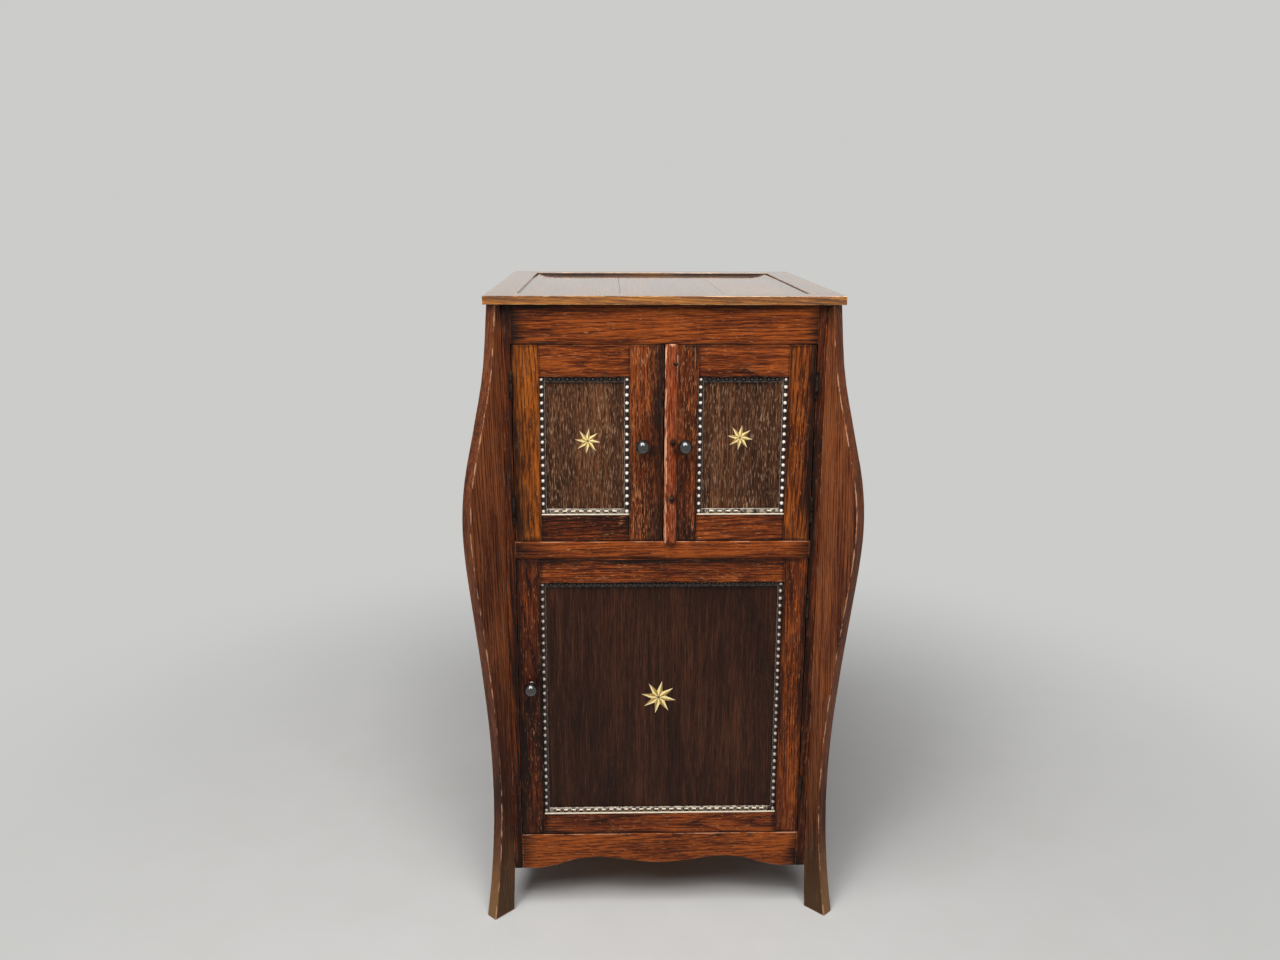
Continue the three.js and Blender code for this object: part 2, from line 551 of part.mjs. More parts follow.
function governor() {
  const { x, y, z, weight, weightReach } = GOVERNOR;
  const at = (from, to, radius, sides = 12) => bar([x, from, z], [x, to, z], radius, sides);
  const weights = [0, 120, 240].map((angle) => {
    const rad = THREE.MathUtils.degToRad(angle);
    return new THREE.SphereGeometry(weight, 6, 4)
      .translate(x + weightReach * Math.cos(rad), y[1] - 20, z + weightReach * Math.sin(rad));
  });
  return join(at(y[0], y[1], GOVERNOR.axle), at(y[0] + 30, y[1] - 30, GOVERNOR.worm),
    at(y[0] + 10, y[0] + 13, GOVERNOR.disc, 20), at(y[1] - 26, y[1] - 24, GOVERNOR.collar), ...weights);
}
add('governor', governor(), 'brass');

const escutcheonFace = CARCASS.halfWidth + GAP;
// The outer end is a square stub that the loose winding handle fits over.
const shaftCollar = CARCASS.halfWidth - 20;
add('winding_shaft', join(
  bar([BARREL.x[0] + 2, SHAFT.y, SHAFT.z], [shaftCollar, SHAFT.y, SHAFT.z], SHAFT.radius),
  bar([shaftCollar - 4, SHAFT.y, SHAFT.z], [shaftCollar + 6, SHAFT.y, SHAFT.z],
    SHAFT.collar),
  bar([shaftCollar, SHAFT.y, SHAFT.z], [CARCASS.halfWidth - 1, SHAFT.y, SHAFT.z],
    SHAFT.square, 4)), 'steel');
add('winding_escutcheon', cut(
  bar([escutcheonFace, SHAFT.y, SHAFT.z], [escutcheonFace + 2, SHAFT.y, SHAFT.z], 18, 28),
  bar([escutcheonFace - 1, SHAFT.y, SHAFT.z], [escutcheonFace + 4, SHAFT.y, SHAFT.z], 8, 20)), 'nickel');

// ---- tone arm, sound box and brake ----
const ARM_BASE = { flange: 28, collar: 15, flangeTop: 851, top: 884 };
const baseBore = ARM.bore + 2;
const armBase = add('tone_arm_base', lathe([[baseBore, WELL_FLOOR + GAP], [baseBore, ARM_BASE.top],
  [ARM_BASE.collar, ARM_BASE.top], [ARM_BASE.collar, ARM_BASE.flangeTop + 3],
  [ARM_BASE.flange, ARM_BASE.flangeTop], [ARM_BASE.flange, WELL_FLOOR + GAP],
  [baseBore, WELL_FLOOR + GAP]], 24), 'nickel');
armBase.position.set(ARM.x, ARM.y, 0);

const arm = new THREE.Group();
arm.position.set(ARM.x, ARM.y, 0);
arm.rotation.z = THREE.MathUtils.degToRad(ARM.turn);
group.add(arm);
add('tone_arm', roundTube([[0, 0, 885.5], [0, 0, 890], [0, -2, 896.5], [0, -9, 903], [0, -24, ARM.height],
  [0, -100, ARM.height], [0, -ARM.reach + 20, ARM.height], [0, -ARM.reach, ARM.height]],
  ARM.radius, ARM.bore, 16, 6), 'nickel', arm);

const BOX = { radius: 26, half: 6.5, y: -ARM.reach - 30, z: 909, offset: -13, rim: 4, dish: 2.5, neck: 8,
  stub: 9, needleBar: 2.2, needle: 0.9, needlePoint: 0.3 };
function soundBox() {
  const faceX = BOX.offset - BOX.half;
  const disc = bar([faceX, BOX.y, BOX.z], [faceX + 2 * BOX.half, BOX.y, BOX.z], BOX.radius, 28);
  const dish = bar([faceX - 1, BOX.y, BOX.z], [faceX + BOX.dish, BOX.y, BOX.z], BOX.radius - BOX.rim, 24);
  const neck = bar([0, -ARM.reach - 0.6, ARM.height], [0, BOX.y - 1, ARM.height + 1], BOX.neck, 12);
  const stub = bar([4, BOX.y, BOX.z - 2], [BOX.offset, BOX.y, BOX.z - 1], BOX.stub, 12);
  const needleBar = bar([faceX + 2, BOX.y, BOX.z - BOX.radius + BOX.rim], [faceX - 1, BOX.y - 5, 881],
    BOX.needleBar, 8);
  const needle = bar([faceX - 1, BOX.y - 5, 884], [faceX - 1, BOX.y - 10, 872], BOX.needle, 6,
    BOX.needlePoint);
  return join(cut(disc, dish), neck, stub, needleBar, needle);
}
add('sound_box', soundBox(), 'nickel', arm);

const BRAKE = { x: -140, y: -170, length: 26, tail: -14, rest: 70, post: 5.5, postTop: 863,
  half: 3.5, height: [858, 861], button: { x: -11, top: 868, radius: 3.2 } };
const brake = new THREE.Group();
brake.position.set(BRAKE.x, BRAKE.y, 0);
brake.rotation.z = THREE.MathUtils.degToRad(BRAKE.rest);
group.add(brake);
add('brake_lever', join(
  bar([0, 0, WELL_FLOOR + GAP], [0, 0, BRAKE.postTop], BRAKE.post, 14),
  box([BRAKE.tail, BRAKE.length], [-BRAKE.half, BRAKE.half], BRAKE.height),
  bar([BRAKE.button.x, 0, BRAKE.height[0] + 1], [BRAKE.button.x, 0, BRAKE.button.top], BRAKE.button.radius,
    10)), 'nickel', brake);

export default group;
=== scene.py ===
"""A floor-standing gramophone cabinet in stained oak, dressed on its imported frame.

Sizes in the dataclasses are in millimetres, in the frame's own axes: +X to the right, +Y to the
back and +Z up, with the origin on the floor in the middle of the cabinet's footprint.
"""

import logging
import math
import random
from dataclasses import dataclass, field
from enum import Enum
from typing import Iterable, Sequence

import bmesh
import bpy
from mathutils import Matrix, Vector


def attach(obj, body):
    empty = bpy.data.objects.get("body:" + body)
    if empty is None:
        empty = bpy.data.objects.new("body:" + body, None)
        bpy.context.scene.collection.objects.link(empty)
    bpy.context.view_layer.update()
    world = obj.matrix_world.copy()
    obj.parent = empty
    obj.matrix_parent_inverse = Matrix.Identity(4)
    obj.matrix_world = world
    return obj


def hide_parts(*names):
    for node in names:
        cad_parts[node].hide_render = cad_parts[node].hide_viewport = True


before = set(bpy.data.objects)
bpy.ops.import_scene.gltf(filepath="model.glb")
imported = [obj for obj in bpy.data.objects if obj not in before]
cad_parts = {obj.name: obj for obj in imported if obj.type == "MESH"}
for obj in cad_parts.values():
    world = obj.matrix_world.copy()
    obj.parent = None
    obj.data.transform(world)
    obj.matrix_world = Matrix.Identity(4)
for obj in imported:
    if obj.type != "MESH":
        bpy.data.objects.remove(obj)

LOG = logging.getLogger("gramophone_cabinet")
MM = 0.001
FLAT = 12.0  # a board is shaded sharp at the edges that turn by more than this many degrees
SOFT = 38.0  # the same for any other piece that doesn't set its own
ARRIS = 35.0  # edges that turn by more than this many degrees are rounded off
LYING = (0.0, 0.0, -1.0)  # the way to the log's heart in a board that lies flat
Colour = tuple[float, float, float, float]
Triple = tuple[float, float, float]
Span = tuple[float, float]
Mesh = bmesh.types.BMesh
Socket = bpy.types.NodeSocket


def paint(red: float, green: float, blue: float) -> Colour:
    """Turn a screen colour into a scene colour.

    Args:
        red: Red, 0 to 255.
        green: Green, 0 to 255.
        blue: Blue, 0 to 255.

    Returns:
        The linear colour with full alpha.
    """
    parts = [channel / 255 for channel in (red, green, blue)]
    linear = [p / 12.92 if p <= 0.04045 else ((p + 0.055) / 1.055) ** 2.4 for p in parts]
    return (linear[0], linear[1], linear[2], 1.0)


def at(x: float, y: float, z: float) -> Vector:
    """Give a place in metres from millimetres."""
    return Vector((x, y, z)) * MM


SURROUND = paint(204, 204, 202)
# The colour of dirt and of painted shade along the boards' edges and in their corners.
DIRT_AND_SHADE = paint(16, 8, 5)
BARE_FOOT = paint(136, 102, 62)
WAVE_PERIOD = 0.31416  # the wave texture's own period at a scale of 1
HEART_SWAY = (0.011, 0.011, 0.0)  # how far a log's heart wavers, in metres


# ---- Shader building ----


class ShaderTree:
    """A material's node tree, built one node at a time."""

    def __init__(self, name: str) -> None:
        """Start an empty material.

        Args:
            name: The material's name.
        """
        self.material = bpy.data.materials.new(name)
        self.material.use_nodes = True
        self.tree = self.material.node_tree
        self.tree.nodes.clear()

    def node(self, kind: str, inputs: dict[str | int, object], **settings: object) -> bpy.types.Node:
        """Add a node.

        Args:
            kind: The node's Blender type.
            inputs: A value or an output socket for each input, by name or index.
            **settings: The node's own settings.

        Returns:
            The new node.
        """
        made = self.tree.nodes.new(kind)
        for key, value in settings.items():
            setattr(made, key, value)
        for key, value in inputs.items():
            if isinstance(value, Socket):
                self.tree.links.new(value, made.inputs[key])
            else:
                made.inputs[key].default_value = value
        return made

    def attribute(self, name: str, output: str = "Fac") -> Socket:
        """Read one of the mesh's own attributes."""
        return self.node("ShaderNodeAttribute", {}, attribute_name=name).outputs[output]

    def place(self) -> Socket:
        """Read the point's place on the object."""
        return self.node("ShaderNodeTexCoord", {}).outputs["Object"]

    def axes(self, vector: Socket) -> Sequence[Socket]:
        """Split a vector into its X, Y and Z."""
        return self.node("ShaderNodeSeparateXYZ", {0: vector}).outputs

    def away(self, vector: Socket, start: Sequence[float] = (0, 0, 0)) -> Socket:
        """Give how far a place lies from a start."""
        ends = {0: vector, 1: start}
        return self.node("ShaderNodeVectorMath", ends, operation="DISTANCE").outputs["Value"]

    def stretch(
        self, vector: Socket, scale: Sequence[float], shift: Sequence[float] = (0, 0, 0)
    ) -> Socket:
        """Scale a vector, each axis by its own amount, then shift it."""
        inputs = {"Vector": vector, "Scale": scale, "Location": shift}
        return self.node("ShaderNodeMapping", inputs).outputs["Vector"]

    def noise(
        self,
        vector: Socket,
        scale: float,
        detail: float = 2.0,
        roughness: float = 0.5,
        output: str = "Fac",
    ) -> Socket:
        """Add a noise pattern."""
        inputs = {"Vector": vector, "Scale": scale, "Detail": detail, "Roughness": roughness}
        return self.node("ShaderNodeTexNoise", inputs).outputs[output]

    def math(self, operation: str, a: object, b: object = 0.0) -> Socket:
        """Work out one sum on two numbers."""
        return self.node("ShaderNodeMath", {0: a, 1: b}, operation=operation).outputs[0]

    def total(self, first: Socket, *others: Socket) -> Socket:
        """Add up several numbers.

        Args:
            first: The first number.
            *others: The numbers added to it.

        Returns:
            Their sum.
        """
        for other in others:
            first = self.math("ADD", first, other)
        return first

    def vector_math(self, operation: str, a: object, b: object) -> Socket:
        """Work out one sum on two vectors."""
        return self.node("ShaderNodeVectorMath", {0: a, 1: b}, operation=operation).outputs[0]

    def between(
        self, value: Socket, low: float, high: float, start: float = 0.0, end: float = 1.0
    ) -> Socket:
        """Map low..high to start..end, and hold the ends beyond them."""
        inputs = {"Value": value, "From Min": low, "From Max": high, "To Min": start, "To Max": end}
        return self.node("ShaderNodeMapRange", inputs).outputs["Result"]

    def spread(self, pattern: Socket, start: float = 0.0, end: float = 1.0) -> Socket:
        """Map a noise pattern, nearly all of which lies in 0.3 to 0.7, to start..end."""
        return self.between(pattern, 0.3, 0.7, start, end)

    def mix(self, factor: object, a: object, b: object, blend: str = "MIX") -> Socket:
        """Mix two colours by a factor."""
        inputs = {0: factor, 6: a, 7: b}
        return self.node("ShaderNodeMix", inputs, data_type="RGBA", blend_type=blend).outputs[2]

    def ramp(self, value: Socket, stops: Sequence[tuple[float, Colour]]) -> Socket:
        """Colour a value by a row of stops.

        Args:
            value: The value, 0 to 1.
            stops: Each stop's place and colour.

        Returns:
            The colour.
        """
        made = self.node("ShaderNodeValToRGB", {"Fac": value})
        elements = made.color_ramp.elements
        while len(elements) < len(stops):
            elements.new(0.5)
        for element, (position, colour) in zip(elements, stops):
            element.position = position
            element.color = colour
        return made.outputs["Color"]

    def bump(self, height: Socket, strength: float, distance: float) -> Socket:
        """Turn a height into a normal; distance is in millimetres."""
        inputs = {"Height": height, "Strength": strength, "Distance": distance * MM}
        return self.node("ShaderNodeBump", inputs).outputs["Normal"]

    def surface(self, **inputs: object) -> bpy.types.Material:
        """Close the tree with the main shader.

        Args:
            **inputs: The shader's inputs, with underscores for the blanks in their names.

        Returns:
            The finished material.
        """
        named = {key.replace("_", " "): value for key, value in inputs.items()}
        shader = self.node("ShaderNodeBsdfPrincipled", named)
        output = self.tree.nodes.new("ShaderNodeOutputMaterial")
        self.tree.links.new(shader.outputs[0], output.inputs["Surface"])
        return self.material


class Figure(Enum):
    """The patterns in wood.

    Each holds its repeats per metre across and along the grain, its shift, detail and roughness.
    """

    FIBRE = ((480, 480, 8), (0, 0, 0), 3.0, 0.65)
    FINE_FIBRE = ((980, 980, 40), (4, 4, 0), 2.0, 0.6)
    STREAK = ((110, 110, 3.6), (0, 0, 0), 2.0, 0.6)
    BROAD_TONE = ((18, 18, 4.2), (3, 1, 2), 2.0, 0.5)
    RING_WAVER = ((22, 22, 3.4), (0, 0, 0), 2.0, 0.5)
    RING_FADE = ((60, 60, 7), (5, 3, 1), 1.0, 0.5)
    PORE = ((760, 760, 44), (0, 0, 0), 1.0, 0.5)
    FLECK = ((820, 820, 96), (7, 2, 0), 1.0, 0.5)
    FLECK_PATCH = ((30, 30, 7), (9, 9, 0), 2.0, 0.5)
    RUB = ((170, 170, 30), (1, 5, 0), 4.0, 0.7)
    INLAY = ((500, 500, 90), (0, 0, 0), 2.0, 0.5)

    def over(self, tree: ShaderTree, vector: Socket, output: str = "Fac") -> Socket:
        """Add this pattern to a tree, over a vector that runs along the grain in Z."""
        scale, shift, detail, roughness = self.value
        return tree.noise(tree.stretch(vector, scale, shift), 1.0, detail, roughness, output)


class Finish:
    """A finish that makes its material once and then hands out the same one.

    Attributes:
        name: The material's name.
        slot: The frame's slot for its pieces, empty for the studio; not used.
    """

    name: str
    slot: str

    def build(self) -> bpy.types.Material:
        """Make the material."""
        raise NotImplementedError

    def material(self) -> bpy.types.Material:
        """Give the finish's material, made on first use."""
        return bpy.data.materials.get(self.name) or self.build()


@dataclass(frozen=True)
class StainedWood(Finish):
    """Stained timber that reads each board's own grain, tone and wear attributes.

    Attributes:
        dark, middle, light: The wood's three tones.
        pore, fleck, worn: The colours of its pores, its pale flecks and its rubbed arrises.
        golden: What the tones of a golden board are multiplied by.
        ring: The distance between the growth rings, in millimetres.
        ring_share, fibre_share, pore_share, fleck_share: How strongly its patterns show.
        grime_and_shade_share: How dark its edges are made, 0 to 1: dirt, and painted shade in
            corners and under overhangs.
        foot_share: How far the finish has gone near the floor, 0 to 1.
        stains_and_shadows: Dark patches, real stains and painted shadows, each a place and how far
            it reaches, in millimetres.
        roughness, specular, coat: How it shines.
        relief: The depth of its grain, in millimetres.
    """

    name: str
    slot: str
    dark: Colour
    middle: Colour
    light: Colour
    pore: Colour
    fleck: Colour
    worn: Colour
    golden: Colour = (1.1, 1.32, 0.72, 1.0)
    ring: float = 3.7
    ring_share: float = 0.7
    fibre_share: float = 1.0
    pore_share: float = 0.6
    fleck_share: float = 0.6
    grime_and_shade_share: float = 0.95
    foot_share: float = 0.0
    stains_and_shadows: tuple[tuple[float, float, float, float], ...] = ()
    roughness: float = 0.42
    specular: float = 0.15
    coat: float = 0.0
    relief: float = 0.16

    def build(self) -> bpy.types.Material:
        """Make the wood: growth rings, fibres, pores, flecks, changes of tone, dirt with painted
        shade along the edges, and wear.

        Returns:
            The new material.
        """
        tree = ShaderTree(self.name)
        grain = tree.attribute("grain", "Vector")
        tone, flecked, gold = tree.axes(tree.attribute("ageing", "Vector"))
        rings = self.rings(tree, grain)
        fibre = Figure.FIBRE.over(tree, grain)
        broad = Figure.BROAD_TONE.over(tree, grain)
        pores = self.pores(tree, grain, rings)
        grime_and_shade = self.grime_and_shade(tree, broad, fibre)
        worn = self.wear(tree, grain)

        shade = self.shade(tree, grain, rings, fibre, broad, tone)
        colour = tree.ramp(shade, [(0.02, self.dark), (0.5, self.middle), (0.98, self.light)])
        colour = tree.mix(gold, colour, self.golden, "MULTIPLY")
        colour = tree.mix(tree.math("MULTIPLY", pores, self.pore_share), colour, self.pore)
        fleck = self.flecks(tree, grain, flecked)
        colour = tree.mix(tree.math("MULTIPLY", fleck, self.fleck_share), colour, self.fleck)
        if self.foot_share:
            height = tree.axes(tree.place())[2]
            foot = tree.between(height, 0.02, 0.15, self.foot_share, 0.0)
            colour = tree.mix(foot, colour, BARE_FOOT)
        # Dirt and painted shade darken the edges, the corners and the patches.
        colour = tree.mix(grime_and_shade, colour, DIRT_AND_SHADE)
        colour = tree.mix(worn, colour, self.worn)

        height = tree.math("SUBTRACT", tree.math("MULTIPLY", rings, 0.2), pores)
        height = tree.math("ADD", height, tree.math("MULTIPLY", fibre, 1.2))
        gloss = tree.spread(fibre, self.roughness - 0.05, self.roughness + 0.09)
        dull = tree.total(pores, worn, grime_and_shade)
        gloss = tree.math("ADD", gloss, tree.math("MULTIPLY", dull, 0.16))
        return tree.surface(
            Base_Color=colour,
            Roughness=gloss,
            Specular_IOR_Level=self.specular,
            Coat_Weight=self.coat,
            Coat_Roughness=0.06,
            Normal=tree.bump(height, 0.6, self.relief),
        )

    def shade(
        self,
        tree: ShaderTree,
        grain: Socket,
        rings: Socket,
        fibre: Socket,
        broad: Socket,
        tone: Socket,
    ) -> Socket:
        """Add up all that makes the wood lighter or darker.

        Args:
            tree: The material's tree.
            grain: The place in the log.
            rings: The growth rings.
            fibre: The fibre pattern.
            broad: The broad changes of tone.
            tone: The board's own tone.

        Returns:
            The shade, from dark at 0 to light at 1.
        """
        reach = 0.38 * self.fibre_share
        fade = tree.between(Figure.RING_FADE.over(tree, grain), 0.35, 0.6, 0.25, 1.0)
        share = tree.math("MULTIPLY", fade, self.ring_share)
        return tree.total(
            tree.math("MULTIPLY", tree.between(rings, 0.0, 0.4, -0.6, 0.16), share),
            tree.spread(fibre, -reach, reach),
            tree.spread(Figure.FINE_FIBRE.over(tree, grain), -0.7 * reach, 0.7 * reach),
            tree.spread(Figure.STREAK.over(tree, grain), 0.34, 0.66),
            tree.spread(broad, -0.2, 0.2),
            tree.math("MULTIPLY", tone, 0.4),
        )

    def rings(self, tree: ShaderTree, grain: Socket) -> Socket:
        """Give the growth rings: each rises from 0 to 1 outwards from the log's wavering heart.

        Args:
            tree: The material's tree.
            grain: The place in the log.

        Returns:
            How far through its ring each point lies.
        """
        waver = Figure.RING_WAVER.over(tree, grain, "Color")
        sway = tree.vector_math("SUBTRACT", waver, (0.5, 0.5, 0.5))
        sway = tree.vector_math("MULTIPLY", sway, HEART_SWAY)
        bent = tree.vector_math("ADD", grain, sway)
        return tree.node(
            "ShaderNodeTexWave",
            {"Vector": bent, "Scale": WAVE_PERIOD / (self.ring * MM), "Distortion": 0.0},
            wave_type="RINGS",
            rings_direction="Z",
            wave_profile="SAW",
        ).outputs["Fac"]

    def pores(self, tree: ShaderTree, grain: Socket, rings: Socket) -> Socket:
        """Give the dark pores, which crowd into the start of each growth ring.

        Args:
            tree: The material's tree.
            grain: The place in the log.
            rings: The growth rings.

        Returns:
            The share of pore, 0 to 1.
        """
        early = tree.between(rings, 0.0, 0.6, 1.0, 0.35)
        pores = tree.between(Figure.PORE.over(tree, grain), 0.55, 0.66)
        return tree.math("MULTIPLY", pores, early)

    def flecks(self, tree: ShaderTree, grain: Socket, share: Socket) -> Socket:
        """Give the short pale scratches and ray flecks, the more the higher the board's share.

        Args:
            tree: The material's tree.
            grain: The place in the log.
            share: How thick the board's flecks lie.

        Returns:
            The share of fleck, 0 to 1.
        """
        patch = tree.between(Figure.FLECK_PATCH.over(tree, grain), 0.4, 0.62, 0.5, 1.0)
        fleck = Figure.FLECK.over(tree, grain)
        fleck = tree.math("ADD", fleck, tree.math("MULTIPLY", share, 0.12))
        return tree.math("MULTIPLY", tree.between(fleck, 0.68, 0.78), patch)

    def grime_and_shade(self, tree: ShaderTree, broad: Socket, fibre: Socket) -> Socket:
        """Give the darkening that reaches in from the board's edges, dirt with painted shade in
        corners and under overhangs, and its dark patches, 0 to 1.

        Args:
            tree: The material's tree.
            broad: The broad changes of tone.
            fibre: The fibre pattern.

        Returns:
            The share of dirt and painted shade, 0 to 1.
        """
        low, high = tree.attribute("edge_low", "Vector"), tree.attribute("edge_high", "Vector")
        near = tree.vector_math("MINIMUM", low, high)
        # On each face, the distance along its own normal is pushed out of the reckoning.
        normal = tree.node("ShaderNodeTexCoord", {}).outputs["Normal"]
        facing = tree.vector_math("ABSOLUTE", normal, (0, 0, 0))
        facing = tree.vector_math("MULTIPLY", facing, (9, 9, 9))
        x, y, z = tree.axes(tree.vector_math("ADD", near, facing))
        nearest = tree.total(
            tree.math("MINIMUM", tree.math("MINIMUM", x, y), z),
            tree.spread(broad, -0.3, 0.3),
            tree.spread(fibre, -0.2, 0.2),
        )
        # Painted shade and dirt: the board darkens towards its nearest edge.
        grime_and_shade = tree.between(nearest, 0.05, 1.0, 1.0, 0.0)
        grime_and_shade = tree.math("MULTIPLY", grime_and_shade, self.grime_and_shade_share)
        # Each patch darkens round its place: real stains, and painted shadows cast by the knobs.
        for *middle, reach in self.stains_and_shadows:
            ragged = 0.1 * reach * MM
            away = tree.away(tree.place(), at(*middle))
            away = tree.math("ADD", away, tree.spread(fibre, -ragged, ragged))
            stain_and_shadow = tree.between(away, 0.4 * reach * MM, reach * MM, 0.85, 0.0)
            grime_and_shade = tree.math("MAXIMUM", grime_and_shade, stain_and_shadow)
        return grime_and_shade

    def wear(self, tree: ShaderTree, grain: Socket) -> Socket:
        """Give the pale wear on the rubbed arrises, broken up along the grain, 0 to 1."""
        broken = tree.between(Figure.RUB.over(tree, grain), 0.38, 0.6, -1.0, 0.12)
        return tree.between(tree.math("ADD", tree.attribute("wear"), broken), 0.1, 0.5)


@dataclass(frozen=True)
class AgedMetal(Finish):
    """Metal with blotches of tarnish and fine scratches.

    Attributes:
        bright, tarnished: The colours of the bare metal and of its tarnish.
        tarnish: How much of it has tarnished, 0 to 1.
        metallic, roughness: How it shines where it is bright.
        relief: The depth of its scratches, in millimetres.
    """

    name: str
    slot: str
    bright: Colour
    tarnished: Colour
    tarnish: float = 0.5
    metallic: float = 1.0
    roughness: float = 0.3
    relief: float = 0.03

    def build(self) -> bpy.types.Material:
        """Make the metal from a blotch pattern and a fine one.

        Returns:
            The new material.
        """
        tree = ShaderTree(self.name)
        place = tree.place()
        blotch = tree.noise(place, 95.0, 4.0, 0.62)
        fine = tree.noise(place, 1400.0, 2.0)
        low = 0.72 - 0.5 * self.tarnish
        patch = tree.between(blotch, low - 0.1, low + 0.3)
        colour = tree.mix(patch, self.bright, self.tarnished)
        rough = tree.between(patch, 0.0, 1.0, self.roughness, min(0.85, self.roughness + 0.28))
        rough = tree.math("ADD", rough, tree.spread(fine, -0.04, 0.05))
        return tree.surface(
            Base_Color=colour,
            Metallic=self.metallic,
            Roughness=rough,
            Normal=tree.bump(tree.math("ADD", fine, blotch), 0.4, self.relief),
        )


@dataclass(frozen=True)
class PolishedBlack(Finish):
    """The ebonised knobs: near-black, glossy, a little rubbed."""

    name: str = "black_polish"
    slot: str = "black_knob"

    def build(self) -> bpy.types.Material:
        """Make the polish with faint smears in its gloss.

        Returns:
            The new material.
        """
        tree = ShaderTree(self.name)
        place = tree.place()
        smear = tree.noise(place, 160.0, 3.0)
        colour = tree.mix(tree.between(smear, 0.45, 0.75), paint(8, 7, 8), paint(30, 26, 22))
        rough = tree.spread(smear, 0.06, 0.16)
        return tree.surface(
            Base_Color=colour,
            Roughness=rough,
            Specular_IOR_Level=0.7,
            Coat_Weight=1.0,
            Coat_Roughness=0.02,
            Normal=tree.bump(tree.noise(place, 700.0, 2.0), 0.15, 0.05),
        )


@dataclass(frozen=True)
class StarInlay(Finish):
    """The pale inlaid stars: each facet reads its own tone."""

    name: str = "star_inlay_wood"
    slot: str = "star_inlay"

    def build(self) -> bpy.types.Material:
        """Make the inlay from the facet tone, a fine grain and a dark middle.

        Returns:
            The new material.
        """
        tree = ShaderTree(self.name)
        place = tree.place()
        tone = tree.attribute("tone")
        grain = Figure.INLAY.over(tree, place)
        out = tree.away(tree.attribute("spoke", "Vector"))
        shade = tree.math("ADD", tone, tree.spread(grain, -0.14, 0.14))
        stops = [(0.2, paint(88, 58, 20)), (0.5, paint(172, 128, 48)), (1.0, paint(254, 234, 164))]
        colour = tree.ramp(shade, stops)
        colour = tree.mix(tree.between(out, 0.5, 1.0, 0.0, 0.4), colour, paint(248, 220, 204))
        colour = tree.mix(tree.between(out, 0.05, 0.13, 0.9, 0.0), colour, paint(44, 26, 12))
        return tree.surface(
            Base_Color=colour,
            Roughness=0.38,
            Normal=tree.bump(grain, 0.3, 0.05),
        )


@dataclass(frozen=True)
class BeadWood(Finish):
    """The beading: dark glossy pearls with dust, pale crowns that are part wear and part painted
    highlight, and a painted shadow on the top row.

    Attributes:
        rub: How far the pearls' crowns are made pale, by wear and a painted highlight, 0 to 1.
    """

    name: str
    slot: str = "beading"
    rub: float = 1.0

    def build(self) -> bpy.types.Material:
        """Make the bead wood, with wear and painted highlights from its attribute, a painted shadow
        on the top row, and dust on the bottom row.

        Returns:
            The new material.
        """
        tree = ShaderTree(self.name)
        place = tree.place()
        patch = tree.noise(place, 210.0, 3.0, 0.6)
        wear = tree.attribute("wear")
        colour = tree.mix(tree.spread(patch), paint(26, 16, 12), paint(62, 44, 34))
        # Painted shadow: the top row, marked -1, is made near-black, the shade under the top rail.
        colour = tree.mix(tree.between(wear, -1.0, -0.3, 0.85, 0.0), colour, paint(12, 10, 10))
        rubbed = tree.math("ADD", wear, tree.spread(patch, -0.15, 0.1))
        body = tree.math("MULTIPLY", tree.between(rubbed, 0.2, 0.8), 0.7 * self.rub)
        colour = tree.mix(body, colour, paint(134, 112, 96))
        # The pale crown: partly rubbed wear, partly a painted highlight on the side that faces the
        # lamps.
        crown = tree.math("MULTIPLY", tree.between(rubbed, 0.62, 0.88), self.rub)
        colour = tree.mix(crown, colour, paint(238, 226, 214))
        dust = tree.math("ADD", tree.attribute("dust"), tree.spread(patch, -0.25, 0.1))
        colour = tree.mix(tree.between(dust, 0.2, 0.5), colour, paint(226, 212, 188))
        rough = tree.between(dust, 0.1, 0.6, 0.2, 0.75)
        return tree.surface(
            Base_Color=colour,
            Roughness=rough,
            Normal=tree.bump(patch, 0.3, 0.08),
        )


@dataclass(frozen=True)
class Baize(Finish):
    """The felt on the turntable."""

    name: str = "green_baize"
    slot: str = "baize"

    def build(self) -> bpy.types.Material:
        """Make the felt from matted fibres.

        Returns:
            The new material.
        """
        tree = ShaderTree(self.name)
        place = tree.place()
        fibre = tree.noise(place, 1500.0, 4.0, 0.7)
        worn = tree.noise(place, 22.0, 3.0)
        colour = tree.mix(tree.spread(fibre), paint(26, 48, 30), paint(58, 86, 54))
        colour = tree.mix(tree.between(worn, 0.5, 0.8, 0.0, 0.5), colour, paint(104, 110, 78))
        return tree.surface(
            Base_Color=colour,
            Roughness=0.95,
            Sheen_Weight=0.3,
            Sheen_Roughness=0.5,
            Normal=tree.bump(fibre, 0.8, 0.4),
        )


